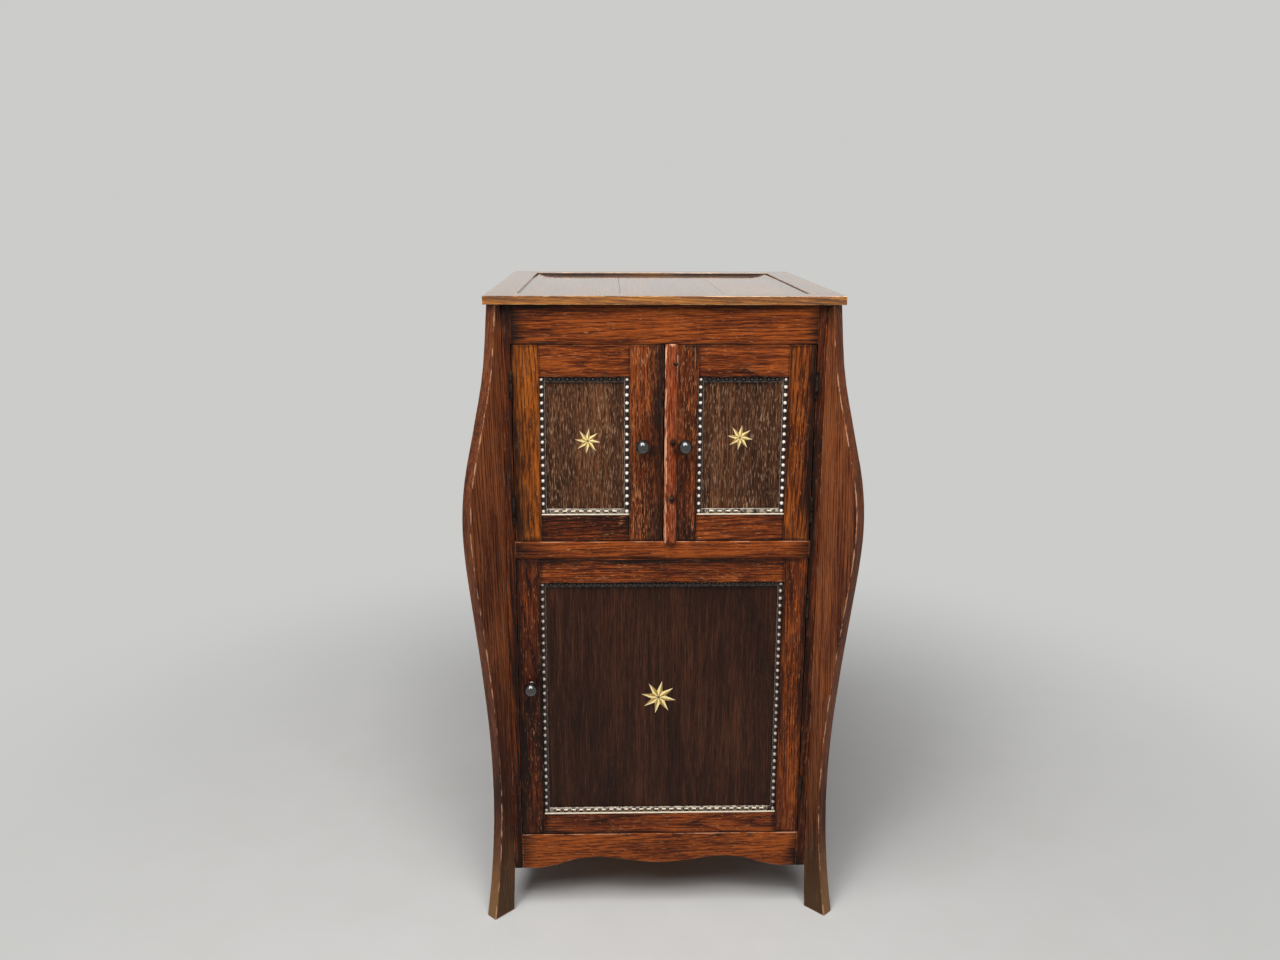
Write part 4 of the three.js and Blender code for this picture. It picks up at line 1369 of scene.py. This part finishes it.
@dataclass
class Beading:
    """A row of pearls on a narrow strip round a door panel.

    Attributes:
        across, height: The reach of the opening that it lines.
        panel_face: The depth of the panel's face.
        strip, depth: The strip's width and thickness.
        gap: How far it stands off the panel and the opening's edges.
        pitch, pearl: The distance between the pearls and their radius.
        reel: Half the length, and the radius, of the reel between two pearls.
        strip_dust: How much dust lies on the bottom strip, 0 to 1.
        ledge_y: How far the dusty ledge's front and back stand before the strip's back.
        ledge_z: The ledge's reach up, from the opening's lower edge.
        broken: The part of the bottom row where the pearls are broken off, if any.
    """

    across: Span
    height: Span
    panel_face: float
    strip: float = 7.6
    depth: float = 2.4
    gap: float = 0.3
    pitch: float = 11.6
    pearl: float = 3.7
    reel: Span = (2.6, 1.5)
    strip_dust: float = 0.34
    ledge_y: Span = (7.4, 5.2)
    ledge_z: Span = (-0.4, 1.5)
    broken: Span | None = None

    def rows(self) -> Iterable[tuple[str, float, float, float, float]]:
        """Give each row's side, fixed place, start, end and dust.

        Returns:
            The four rows, the upright ones first.
        """
        middle = self.gap + self.strip / 2
        left, right = self.across[0] + middle, self.across[1] - middle
        low, high = self.height[0] + middle, self.height[1] - middle
        yield "left", left, low, high, 0.0
        yield "right", right, low, high, 0.0
        yield "bottom", low, left, right, 1.0
        yield "top", high, left, right, 0.0

    def strips(self) -> Iterable[Mesh]:
        """Build the four flat strips behind the pearls, and the dusty ledge under the lowest.

        Returns:
            The five meshes, dust and all.
        """
        face = self.panel_face - self.gap
        for side, fixed, start, end, dusty in self.rows():
            half = self.strip / 2
            upright = side in ("left", "right")
            reach = half if upright else -half
            spans = ((fixed - half, fixed + half), (start - reach, end + reach))
            x, z = spans if upright else spans[::-1]
            strip = ease(block(at(x[0], face - self.depth, z[0]), at(x[1], face, z[1])), 0.7)
            yield filled(strip, "dust", self.strip_dust * dusty)
        foot = self.height[0]
        low = at(self.across[0] + 1, face - self.ledge_y[0], foot + self.ledge_z[0])
        high = at(self.across[1] - 1, face - self.ledge_y[1], foot + self.ledge_z[1])
        yield filled(ease(block(low, high), 0.5), "dust", 1.0)

    def pearls(self) -> Iterable[Mesh]:
        """Build every pearl, with a small reel between each two.

        Returns:
            The pearls and the reels in the order of the rows.
        """
        y = self.panel_face - self.gap - self.depth
        for side, fixed, start, end, dusty in self.rows():
            upright = side in ("left", "right")
            count = round((end - start) / self.pitch)
            stop = count if upright else count - 1
            for index in range(0 if upright else 1, stop + 1):
                along = start + (end - start) * index / count
                if self.broken and side == "bottom" and self.broken[0] < along < self.broken[1]:
                    continue
                x, z = (fixed, along) if upright else (along, fixed)
                yield self.one_pearl(at(x, y, z), dusty, CROWNS[side])
                if index < stop:
                    half = (end - start) / count / 2
                    x, z = (fixed, along + half) if upright else (along + half, fixed)
                    yield self.one_reel(at(x, y, z), upright, dusty)

    def one_pearl(self, middle: Vector, dusty: float, crown: Vector | None) -> Mesh:
        """Build one pearl, dusty all over but for what faces the eye.

        Args:
            middle: Its middle.
            dusty: How much dust lies on it, 0 to 1.
            crown: The way its pale crown faces, wear with a painted highlight, or None on the top
                row, which is painted black as shade under the rail.

        Returns:
            The pearl's mesh.
        """
        bm = bmesh.new()
        bmesh.ops.create_uvsphere(bm, u_segments=10, v_segments=6, radius=self.pearl * MM)
        turned_front(bm, middle)
        dust = number_layer(bm, "dust")
        wear = number_layer(bm, "wear")
        for vert in bm.verts:
            away = (vert.co - middle) / (self.pearl * MM)
            vert[dust] = max(0.0, 1.6 - 2.0 * away.dot(EYE)) * dusty
            # The crown's wear and painted highlight; -1 marks the top row for painted shadow.
            vert[wear] = max(0.0, away.dot(crown)) if crown else -1.0
        return bm

    def one_reel(self, middle: Vector, upright: bool, dusty: float) -> Mesh:
        """Build the short reel between two pearls.

        Args:
            middle: Its middle.
            upright: Whether it stands upright.
            dusty: How much dust lies on it, 0 to 1.

        Returns:
            The reel's mesh.
        """
        half, radius = self.reel
        reach = at(0, 0, half) if upright else at(half, 0, 0)
        bm = rod(middle - reach, middle + reach, radius, 8)
        dust = number_layer(bm, "dust")
        for vert in bm.verts:
            vert[dust] = dusty if vert.co.z > middle.z else 0.4 * dusty
        return bm


@dataclass
class Door:
    """A framed door: four members, a panel, its beading, a star, a knob and two hinges.

    Attributes:
        body: The body that the door rides on; its name starts the names of the pieces.
        left, right, height: The door's reach.
        opening_x, opening_z: The opening between the members.
        star: The star's middle along X and Z, its radius, and its turn in radians.
        knob: The knob's middle along X and Z.
        axis_x: The hinges' axis.
        hinges: The heights of the lower and the upper hinge's middle.
        woods: What sets each member's timber, and the panel's, apart.
        seed: Picks the left stile's figure; the other members and the panel follow it.
        broken: The part of the bottom row where the pearls are broken off, if any.
        front, thickness: The depth of the door's face, and its thickness.
        panel_inset, panel_thickness: How far the panel lies behind the face, and its thickness.
        tongue: How far the panel stands in the members.
        proud: How far the knob's back stands before the door's face, in millimetres; the star's
            edge stands twice as far before the panel's.
        star_waist, star_peak: The star's inner radius as a share of the outer one, and its rise.
        knob_foot: Radius and height along the knob's foot.
        knob_ball, knob_reach: The radius of the knob's ball, and its whole height.
        hinge_y, hinge_radius, hinge_half: The hinges' axis along Y, the knuckles' radius, and half
            a hinge's length.
        knuckles: The number of knuckles in a hinge.
    """

    body: str
    left: float
    right: float
    height: Span
    opening_x: Span
    opening_z: Span
    star: tuple[float, float, float, float]
    knob: Span
    axis_x: float
    hinges: Span
    woods: dict[str, dict[str, object]]
    panel_finish: Finish
    bead_finish: Finish
    seed: int
    broken: Span | None = None
    front: float = -269.5
    thickness: float = 18.0
    panel_inset: float = 8.0
    panel_thickness: float = 6.0
    tongue: float = 6.0
    proud: float = 0.3
    star_waist: float = 0.4
    star_peak: float = 0.45
    knob_foot: tuple[Span, ...] = (
        (0.0, 0.0), (7.0, 0.0), (7.0, 1.2), (6.2, 2.0),
        (4.8, 2.6), (4.4, 3.6), (4.2, 5.4), (5.2, 6.9),
    )
    knob_ball: float = 10.9
    knob_reach: float = 25.0
    hinge_y: float = -273.2
    hinge_radius: float = 2.55
    hinge_half: float = 19.0
    knuckles: int = 5
    joiner: Joiner = field(init=False)

    def __post_init__(self) -> None:
        """Take the door's own body for its pieces."""
        self.joiner = Joiner(self.body)

    def build(self) -> None:
        """Build every piece of the door."""
        self.members()
        self.panel()
        self.beading()
        self.star_inlay()
        self.handle()
        for label, z in zip(("lower", "upper"), self.hinges):
            self.butt_hinge(label, z)

    def members(self) -> None:
        """Build the two stiles and the two rails, joined at the stiles' inner edges."""
        depth = (self.front, self.front + self.thickness)
        parts = (
            ("left_stile", (self.left, self.opening_x[0]), self.height, Grain.ALONG_Z),
            ("right_stile", (self.opening_x[1], self.right), self.height, Grain.ALONG_Z),
            ("bottom_rail", self.opening_x, (self.height[0], self.opening_z[0]), Grain.ALONG_X),
            ("top_rail", self.opening_x, (self.opening_z[1], self.height[1]), Grain.ALONG_X),
        )
        for index, (label, x, z, grain) in enumerate(parts):
            timber = Timber(grain, self.seed + index, **self.woods[label])
            name, node = f"{self.body}_{label}", f"{self.body}_frame"
            self.joiner.board(name, (x, depth, z), timber, OAK, [node], 0.6)

    def panel(self) -> None:
        """Build the panel, let into the members."""
        x = (self.opening_x[0] - self.tongue, self.opening_x[1] + self.tongue)
        z = (self.opening_z[0] - self.tongue, self.opening_z[1] + self.tongue)
        face = self.front + self.panel_inset
        spans = (x, (face, face + self.panel_thickness), z)
        timber = Timber(Grain.ALONG_Z, self.seed + 4, **self.woods["panel"])
        node = f"{self.body}_panel"
        self.joiner.board(f"{node}_board", spans, timber, self.panel_finish, [node], 0.4)

    def beading(self) -> None:
        """Build the beading round the panel."""
        face = self.front + self.panel_inset
        row = Beading(self.opening_x, self.opening_z, face, broken=self.broken)
        bm = together([*row.strips(), *row.pearls()])
        node = f"{self.body}_beading"
        self.joiner.piece(f"{self.body}_pearls", bm, self.bead_finish, [node], 60.0)

    def star_inlay(self) -> None:
        """Build the eight-pointed star: a low pyramid whose facets are light and dark by turns."""
        x, z, radius, turn = self.star
        reach = radius * MM
        face = self.front + self.panel_inset - 2 * self.proud
        bm = bmesh.new()
        tone = number_layer(bm, "tone")
        spoke = bm.verts.layers.float_vector.new("spoke")
        bmesh.ops.create_circle(bm, cap_ends=True, segments=16, radius=reach)
        bmesh.ops.rotate(bm, matrix=Matrix.Rotation(math.pi / 2, 3, "X"), verts=bm.verts)
        rim = sorted(bm.verts, key=lambda vert: math.atan2(vert.co.z, vert.co.x))
        for vert in rim[1::2]:
            vert.co *= self.star_waist
        bmesh.ops.rotate(bm, matrix=Matrix.Rotation(-turn, 3, "Y"), verts=bm.verts)
        centre = bmesh.ops.poke(bm, faces=bm.faces)["verts"][0]
        centre.co.y -= self.star_peak * MM
        bmesh.ops.split_edges(bm, edges=bm.edges)
        for side in bm.faces:
            middle = side.calc_center_median()
            angle = (math.atan2(middle.z, middle.x) - turn) % (math.tau / 8)
            light = 1.0 if angle > math.tau / 16 else 0.5
            for vert in side.verts:
                vert[tone] = light
                vert[spoke] = (vert.co.x / reach, 0.0, vert.co.z / reach)
        bmesh.ops.recalc_face_normals(bm, faces=bm.faces)
        if sum(side.normal.y for side in bm.faces) > 0:
            bmesh.ops.reverse_faces(bm, faces=bm.faces)
        bmesh.ops.translate(bm, vec=at(x, face, z), verts=bm.verts)
        self.joiner.piece(f"{self.body}_star_inlay", bm, STAR_INLAY, [f"{self.body}_star"], 5.0)

    def handle(self) -> None:
        """Build the turned knob."""
        x, z = self.knob
        profile = list(self.knob_foot)
        middle = self.knob_reach - self.knob_ball
        for step in range(-52, 91, 8):
            angle = math.radians(step)
            out = max(0.0, self.knob_ball * math.cos(angle))
            profile.append((out, middle + self.knob_ball * math.sin(angle)))
        profile[-1] = (0.0, self.knob_reach)
        bm = turned_front(spun(profile, 36), at(x, self.front - self.proud, z))
        self.joiner.piece(f"{self.body}_turned_knob", bm, BLACK_POLISH, [f"{self.body}_knob"], 40.0)

    def butt_hinge(self, label: str, z: float) -> None:
        """Build one hinge: the door's leaf and three knuckles, and the case's two knuckles.

        Args:
            label: Which hinge of the door it is.
            z: Its middle's height.
        """
        x, y, half = self.axis_x, self.hinge_y, self.hinge_half
        way = 1 if x < 0 else -1
        long = 2 * half / self.knuckles
        sets: tuple[list[Mesh], list[Mesh]] = ([], [])
        for index in range(self.knuckles):
            start = z - half + index * long
            part = rod(at(x, y, start + 0.2), at(x, y, start + long - 0.2), self.hinge_radius, 20)
            sets[index % 2].append(ease(part, 0.35, 50))
        moving, fixed = sets
        leaf = block(at(x + way * 0.3, y + 1.4, z - half), at(x + way * 1.3, y + 18.5, z + half))
        if way < 0:
            bmesh.ops.recalc_face_normals(leaf, faces=leaf.faces)
        moving.append(ease(leaf, 0.2))
        node = f"{self.body}_{label}_hinge"
        self.joiner.piece(f"{node}_leaf", together(moving), AGED_STEEL, [node])
        Joiner("cabinet").piece(f"{node}_fixed_knuckles", together(fixed), AGED_STEEL)


@dataclass
class Astragal:
    """The worn cover strip over the meeting line, with its three screws.

    Attributes:
        left, right, back, crown: The reach of the strip's section.
        lip: How far the section stands out at its very edges.
        height: The reach along Z.
        screws: The screws' middles along X and Z.
        screw_head: Radius and height along a screw's head.
        facets, steps: The number of flats across the strip, and of lengths along it.
        seed: Picks how the strip wavers.
    """

    left: float = 1.0
    right: float = 19.0
    back: float = -270.3
    crown: float = -278.2
    lip: float = 3.4
    height: Span = (602.6, 889.4)
    screws: tuple[Span, ...] = ((16.0, 862.0), (13.5, 750.0), (12.0, 668.0))
    screw_head: tuple[Span, ...] = ((0.0, 0.0), (3.0, 0.0), (3.0, 0.5), (2.2, 1.3), (0.0, 1.6))
    facets: int = 9
    steps: int = 36
    seed: int = 77
    joiner: Joiner = field(default_factory=lambda: Joiner("upper_right_door"))

    def build(self) -> None:
        """Build the strip and the screws."""
        self.strip()
        for index, (x, z) in enumerate(self.screws):
            head = turned_front(spun(self.screw_head, 20), at(x, self.crown + 1.4, z))
            self.joiner.piece(f"astragal_screw_{index + 1}", head, SCREW)

    def section(self, bm: Mesh) -> bmesh.types.BMFace:
        """Add the strip's rounded section at its lower end.

        Args:
            bm: The mesh that it is added to.

        Returns:
            The section's face.
        """
        corners = []
        rise = self.back - self.lip - self.crown
        for index in range(self.facets + 1):
            share = index / self.facets
            y = self.back
            if 0 < index < self.facets:
                y -= self.lip + rise * math.sin(math.pi * share) ** 0.42
            x = self.left + (self.right - self.left) * share
            corners.append(bm.verts.new(at(x, y, self.height[0])))
        return bm.faces.new(corners)

    def strip(self) -> None:
        """Build the strip from a row of sections that waver as a hand-worn edge does."""
        chance = random.Random(self.seed)
        bm = bmesh.new()
        layer = [self.section(bm)]
        step = (self.height[1] - self.height[0]) / self.steps
        drift = 0.0
        for _ in range(self.steps):
            made = bmesh.ops.extrude_face_region(bm, geom=layer)["geom"]
            verts = [item for item in made if isinstance(item, bmesh.types.BMVert)]
            layer = [item for item in made if isinstance(item, bmesh.types.BMFace)]
            bmesh.ops.translate(bm, vec=at(0, 0, step), verts=verts)
            drift = 0.7 * drift + chance.uniform(-0.25, 0.25)
            for vert in verts:
                if vert.co.y < (self.back - 1) * MM:
                    x = vert.co.x + drift * 0.3 * MM
                    vert.co.x = min(max(x, self.left * MM), self.right * MM)
                    vert.co.y = min(vert.co.y + chance.uniform(0, 0.35) * MM, self.back * MM)
        bmesh.ops.recalc_face_normals(bm, faces=bm.faces)
        self.rub(bm)
        timber = Timber(
            Grain.ALONG_Z, 71, 0.1, fleck=1.0, rubbed=1.0, rubbed_top=1.0,
            low=(0.1, 1, 5), high=(7, 1, 1),
        )
        mark(bm, timber)
        self.joiner.piece("astragal_strip", bm, WORN_ASTRAGAL, ["astragal"], 50.0)

    def rub(self, bm: Mesh) -> None:
        """Mark where the strip is rubbed: most at its left edge, less at its right edge and top.

        Args:
            bm: The strip's mesh.
        """
        wear = number_layer(bm, "wear")
        for vert in bm.verts:
            share = (vert.co.x / MM - self.left) / (self.right - self.left)
            at_top = vert.co.z > (self.height[1] - 1) * MM
            if at_top or share > 0.93:
                vert[wear] = 0.5
            elif share < 0.13:
                vert[wear] = 0.8


# ---- The works ----


@dataclass
class Works:
    """The horn, the spring motor, the turntable, the tone arm and the brake.

    Attributes:
        platter: The turntable's axis along X and Y.
        rim, felt: Radius and height round the turntable's dish and round its baize.
        steps: The number of steps in a full turn of either.
    """

    platter: Span = (-30.0, -60.0)
    rim: tuple[Span, ...] = (
        (4.1, 867.2), (124.0, 867.2), (125.4, 867.9), (126.6, 866.8),
        (127.0, 865.4), (127.0, 856.0), (124.0, 856.0), (124.0, 863.0),
        (14.0, 863.0), (12.0, 852.0), (4.1, 852.0), (4.1, 867.2),
    )
    felt: tuple[Span, ...] = (
        (4.6, 867.25), (4.6, 867.9), (122.6, 867.9), (123.2, 867.25), (4.6, 867.25),
    )
    steps: int = 96

    def build(self) -> None:
        """Build the works."""
        case = Joiner("cabinet")
        case.copied("horn", HORN_WOOD, Timber(Grain.ALONG_Y, 81), 0.5)
        case.copied("horn_throat", IRON, None, 0.4, 60)
        case.copied("motor_frame", IRON, None, 0.4, 60)
        case.copied("winding_escutcheon", NICKEL, None, 0.4)
        case.copied("tone_arm_base", NICKEL, None, 0.5)
        self.turntable()
        Joiner("turntable").copied("spindle", NICKEL, None, 0.15, 60)
        Joiner("spring_barrel").copied("spring_barrel", BRASS, None, 0.4, 50)
        Joiner("governor").copied("governor", BRASS, None, 0.2, 60)
        Joiner("winding_shaft").copied("winding_shaft", AGED_STEEL, None, 0.3, 50)
        Joiner("tone_arm").copied("tone_arm", NICKEL, None, 0.3, 60)
        Joiner("sound_box").copied("sound_box", NICKEL, None, 0.4, 50)
        Joiner("brake_lever").copied("brake_lever", NICKEL, None, 0.4, 50)

    def turntable(self) -> None:
        """Build the platter with its rolled rim, and the baize on it."""
        joiner = Joiner("turntable")
        middle = at(*self.platter, 0)
        rim, felt = spun(self.rim, self.steps), spun(self.felt, self.steps)
        for bm in (rim, felt):
            bmesh.ops.translate(bm, vec=middle, verts=bm.verts)
        joiner.piece("turntable_rim", rim, NICKEL, ["turntable"])
        joiner.piece("turntable_baize", felt, BAIZE)


# ---- Studio ----


def seen_or_mirrored(tree: bpy.types.NodeTree) -> Socket:
    """Give 1 for what the camera sees, straight, mirrored or through glass, and 0 for light.

    Args:
        tree: The node tree that asks.

    Returns:
        The 1 or 0.
    """
    path = tree.nodes.new("ShaderNodeLightPath")
    either = path.outputs["Is Camera Ray"]
    for name in ("Is Glossy Ray", "Is Transmission Ray"):
        larger = tree.nodes.new("ShaderNodeMath")
        larger.operation = "MAXIMUM"
        tree.links.new(either, larger.inputs[0])
        tree.links.new(path.outputs[name], larger.inputs[1])
        either = larger.outputs[0]
    return either


@dataclass(frozen=True)
class Lamp:
    """A soft rectangular lamp: its place and size in metres, and its power in watts."""

    name: str
    place: Triple
    size: Span
    power: float

    def hang(self, target: Vector) -> None:
        """Hang the lamp so that it shines at the target.

        Args:
            target: The place that it shines at.
        """
        data = bpy.data.lights.new(self.name, "AREA")
        data.shape = "RECTANGLE"
        data.size, data.size_y = self.size
        data.energy = self.power
        made = bpy.data.objects.new(self.name, data)
        made.location = self.place
        made.rotation_mode = "QUATERNION"
        made.rotation_quaternion = (target - Vector(self.place)).to_track_quat("-Z", "Y")
        bpy.context.scene.collection.objects.link(made)


@dataclass
class Studio:
    """The floor, the light and the camera at the photograph's viewing angle.

    Attributes:
        camera_place: The camera's place, in millimetres.
        yaw, pitch, roll: How it is turned right, down and over, in radians.
        focal_pixels, image_width: Its focal length and its picture's width, in pixels.
        sensor: The width of its sensor, in millimetres.
        fill: The strength of the surround's own light.
        lamps: The soft lamps.
    """

    camera_place: Triple = (-73.9, -1812.3, 1082.1)
    yaw: float = 0.0262
    pitch: float = 0.2458
    roll: float = 0.0038
    focal_pixels: float = 1113.5
    image_width: float = 1280.0
    sensor: float = 36.0
    fill: float = 0.12
    lamps: tuple[Lamp, ...] = (
        Lamp("overhead_lamp", (-0.4, -1.5, 3.4), (2.4, 1.7), 102.0),
        Lamp("front_lamp", (0.9, -2.6, 3.2), (1.2, 0.9), 22.0),
        Lamp("window_lamp", (-1.3, -2.5, 2.9), (0.9, 1.1), 28.0),
    )

    def build(self) -> None:
        """Build the studio."""
        self.floor()
        self.light()
        self.camera()

    def floor(self) -> None:
        """Lay a wide plain floor."""
        bm = bmesh.new()
        bmesh.ops.create_grid(bm, x_segments=2, y_segments=2, size=30.0)
        mesh = bpy.data.meshes.new("studio_floor")
        bm.to_mesh(mesh)
        bm.free()
        mesh.materials.append(PaleFloor().material())
        made = bpy.data.objects.new("studio_floor", mesh)
        bpy.context.scene.collection.objects.link(made)

    def light(self) -> None:
        """Set an even pale surround and three large soft lamps."""
        world = bpy.data.worlds.new("studio_surround")
        bpy.context.scene.world = world
        world.use_nodes = True
        tree = world.node_tree
        tree.nodes.clear()
        seen = seen_or_mirrored(tree)
        pale = tree.nodes.new("ShaderNodeBackground")
        pale.inputs["Color"].default_value = SURROUND
        pale.inputs["Strength"].default_value = 1.0
        fill = tree.nodes.new("ShaderNodeBackground")
        fill.inputs["Color"].default_value = paint(236, 240, 246)
        fill.inputs["Strength"].default_value = self.fill
        choose = tree.nodes.new("ShaderNodeMixShader")
        output = tree.nodes.new("ShaderNodeOutputWorld")
        tree.links.new(seen, choose.inputs[0])
        tree.links.new(fill.outputs[0], choose.inputs[1])
        tree.links.new(pale.outputs[0], choose.inputs[2])
        tree.links.new(choose.outputs[0], output.inputs["Surface"])
        for lamp in self.lamps:
            lamp.hang(Vector((0, 0, 0.5)))

    def camera(self) -> None:
        """Set the camera at its place, looking forward and down at the cabinet."""
        data = bpy.data.cameras.new("studio_camera")
        data.sensor_width = self.sensor
        data.lens = self.sensor * self.focal_pixels / self.image_width
        data.clip_end = 200.0
        made = bpy.data.objects.new("studio_camera", data)
        bpy.context.scene.collection.objects.link(made)
        flat = math.cos(self.pitch)
        east, north = math.sin(self.yaw) * flat, math.cos(self.yaw) * flat
        forward = Vector((east, north, -math.sin(self.pitch)))
        level = Vector((math.cos(self.yaw), -math.sin(self.yaw), 0))
        upright = level.cross(forward)
        right = math.cos(self.roll) * level + math.sin(self.roll) * upright
        up = -math.sin(self.roll) * level + math.cos(self.roll) * upright
        turn = Matrix((right, up, -forward)).transposed()
        made.matrix_world = Matrix.Translation(at(*self.camera_place)) @ turn.to_4x4()
        bpy.context.scene.camera = made


def doors() -> list[Door]:
    """Give the three doors with their sizes and their boards."""
    upper = {
        "height": (604.0, 888.0), "opening_z": (643.0, 843.0), "hinges": (651.0, 832.0),
        "panel_finish": PANEL_OAK, "bead_finish": BEAD_WOOD,
    }
    # Each member's low and high reaches darken its edges: dirt, and painted shade in the corners, at
    # the hinge edges, under the rails and beside the astragal.
    return [
        Door(
            "upper_left_door", -212.4, -1.0, opening_x=(-175.4, -48.0), axis_x=-214.0,
            star=(-108.0, 750.5, 18.5, 0.28), knob=(-30.0, 746.0), seed=101, **upper,
            woods={
                "left_stile": {"tone": 0.35, "gold": 0.9, "low": (24, 4, 10), "high": (3, 4, 5)},
                "right_stile": {"fleck": 1.0, "high": (24, 4, 5)},
                "top_rail": {
                    "tone": 0.1, "gold": 0.1, "aside": 4.0, "low": (4, 4, 3), "high": (4, 4, 5),
                },
                "bottom_rail": {"tone": -0.95, "fleck": 0.2, "low": (14, 4, 5), "high": (8, 4, 2)},
                "panel": {"fleck": 0.9, "low": (18, 3, 12), "high": (8, 3, 18)},
            },
        ),
        Door(
            "upper_right_door", 1.0, 212.4, opening_x=(48.0, 175.4), axis_x=214.0,
            star=(109.0, 755.0, 18.5, 0.24), knob=(30.0, 746.0), seed=111, **upper,
            broken=(101.0, 141.0),
            woods={
                "left_stile": {"tone": -0.4, "fleck": 0.8, "low": (38, 4, 4), "high": (4, 4, 5)},
                "right_stile": {"tone": 0.35, "gold": 0.5, "low": (4, 4, 5), "high": (14, 4, 5)},
                "top_rail": {"tone": 0.1, "aside": 16.0, "low": (4, 4, 3), "high": (4, 4, 5)},
                "bottom_rail": {"tone": 0.1, "low": (4, 4, 5), "high": (4, 4, 2)},
                "panel": {"fleck": 0.9, "low": (10, 3, 12), "high": (14, 3, 18)},
            },
        ),
        Door(
            "lower_door", -213.0, 212.4, opening_x=(-179.0, 178.4), axis_x=214.0,
            star=(-4.0, 355.0, 26.5, 0.2), knob=(-194.3, 378.5), seed=121,
            height=(130.0, 576.0), opening_z=(164.0, 540.0), hinges=(207.0, 503.0),
            panel_finish=SMOOTH_PANEL_OAK, bead_finish=DARK_BEAD_WOOD,
            woods={
                "left_stile": {"tone": -0.85, "aside": 10.0, "low": (14, 4, 6), "high": (4, 4, 24)},
                "right_stile": {"tone": -0.1, "gold": 0.2, "low": (4, 4, 5), "high": (9, 4, 9)},
                "top_rail": {"tone": 0.05, "fleck": 0.5, "low": (8, 4, 3), "high": (6, 4, 10)},
                "bottom_rail": {"tone": 0.1, "aside": 2.0, "low": (8, 4, 5), "high": (8, 4, 2)},
                "panel": {"fleck": 0.5, "low": (14, 3, 14), "high": (14, 3, 20)},
            },
        ),
    ]


def main() -> None:
    """Build the cabinet and the studio."""
    logging.basicConfig(level=logging.INFO, format="%(name)s: %(message)s")
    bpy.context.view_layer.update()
    Carcass().build()
    Lid().build()
    for door in doors():
        door.build()
    Astragal().build()
    Works().build()
    Studio().build()
    bpy.context.scene.view_settings.view_transform = "Standard"


if __name__ == "__main__":
    main()
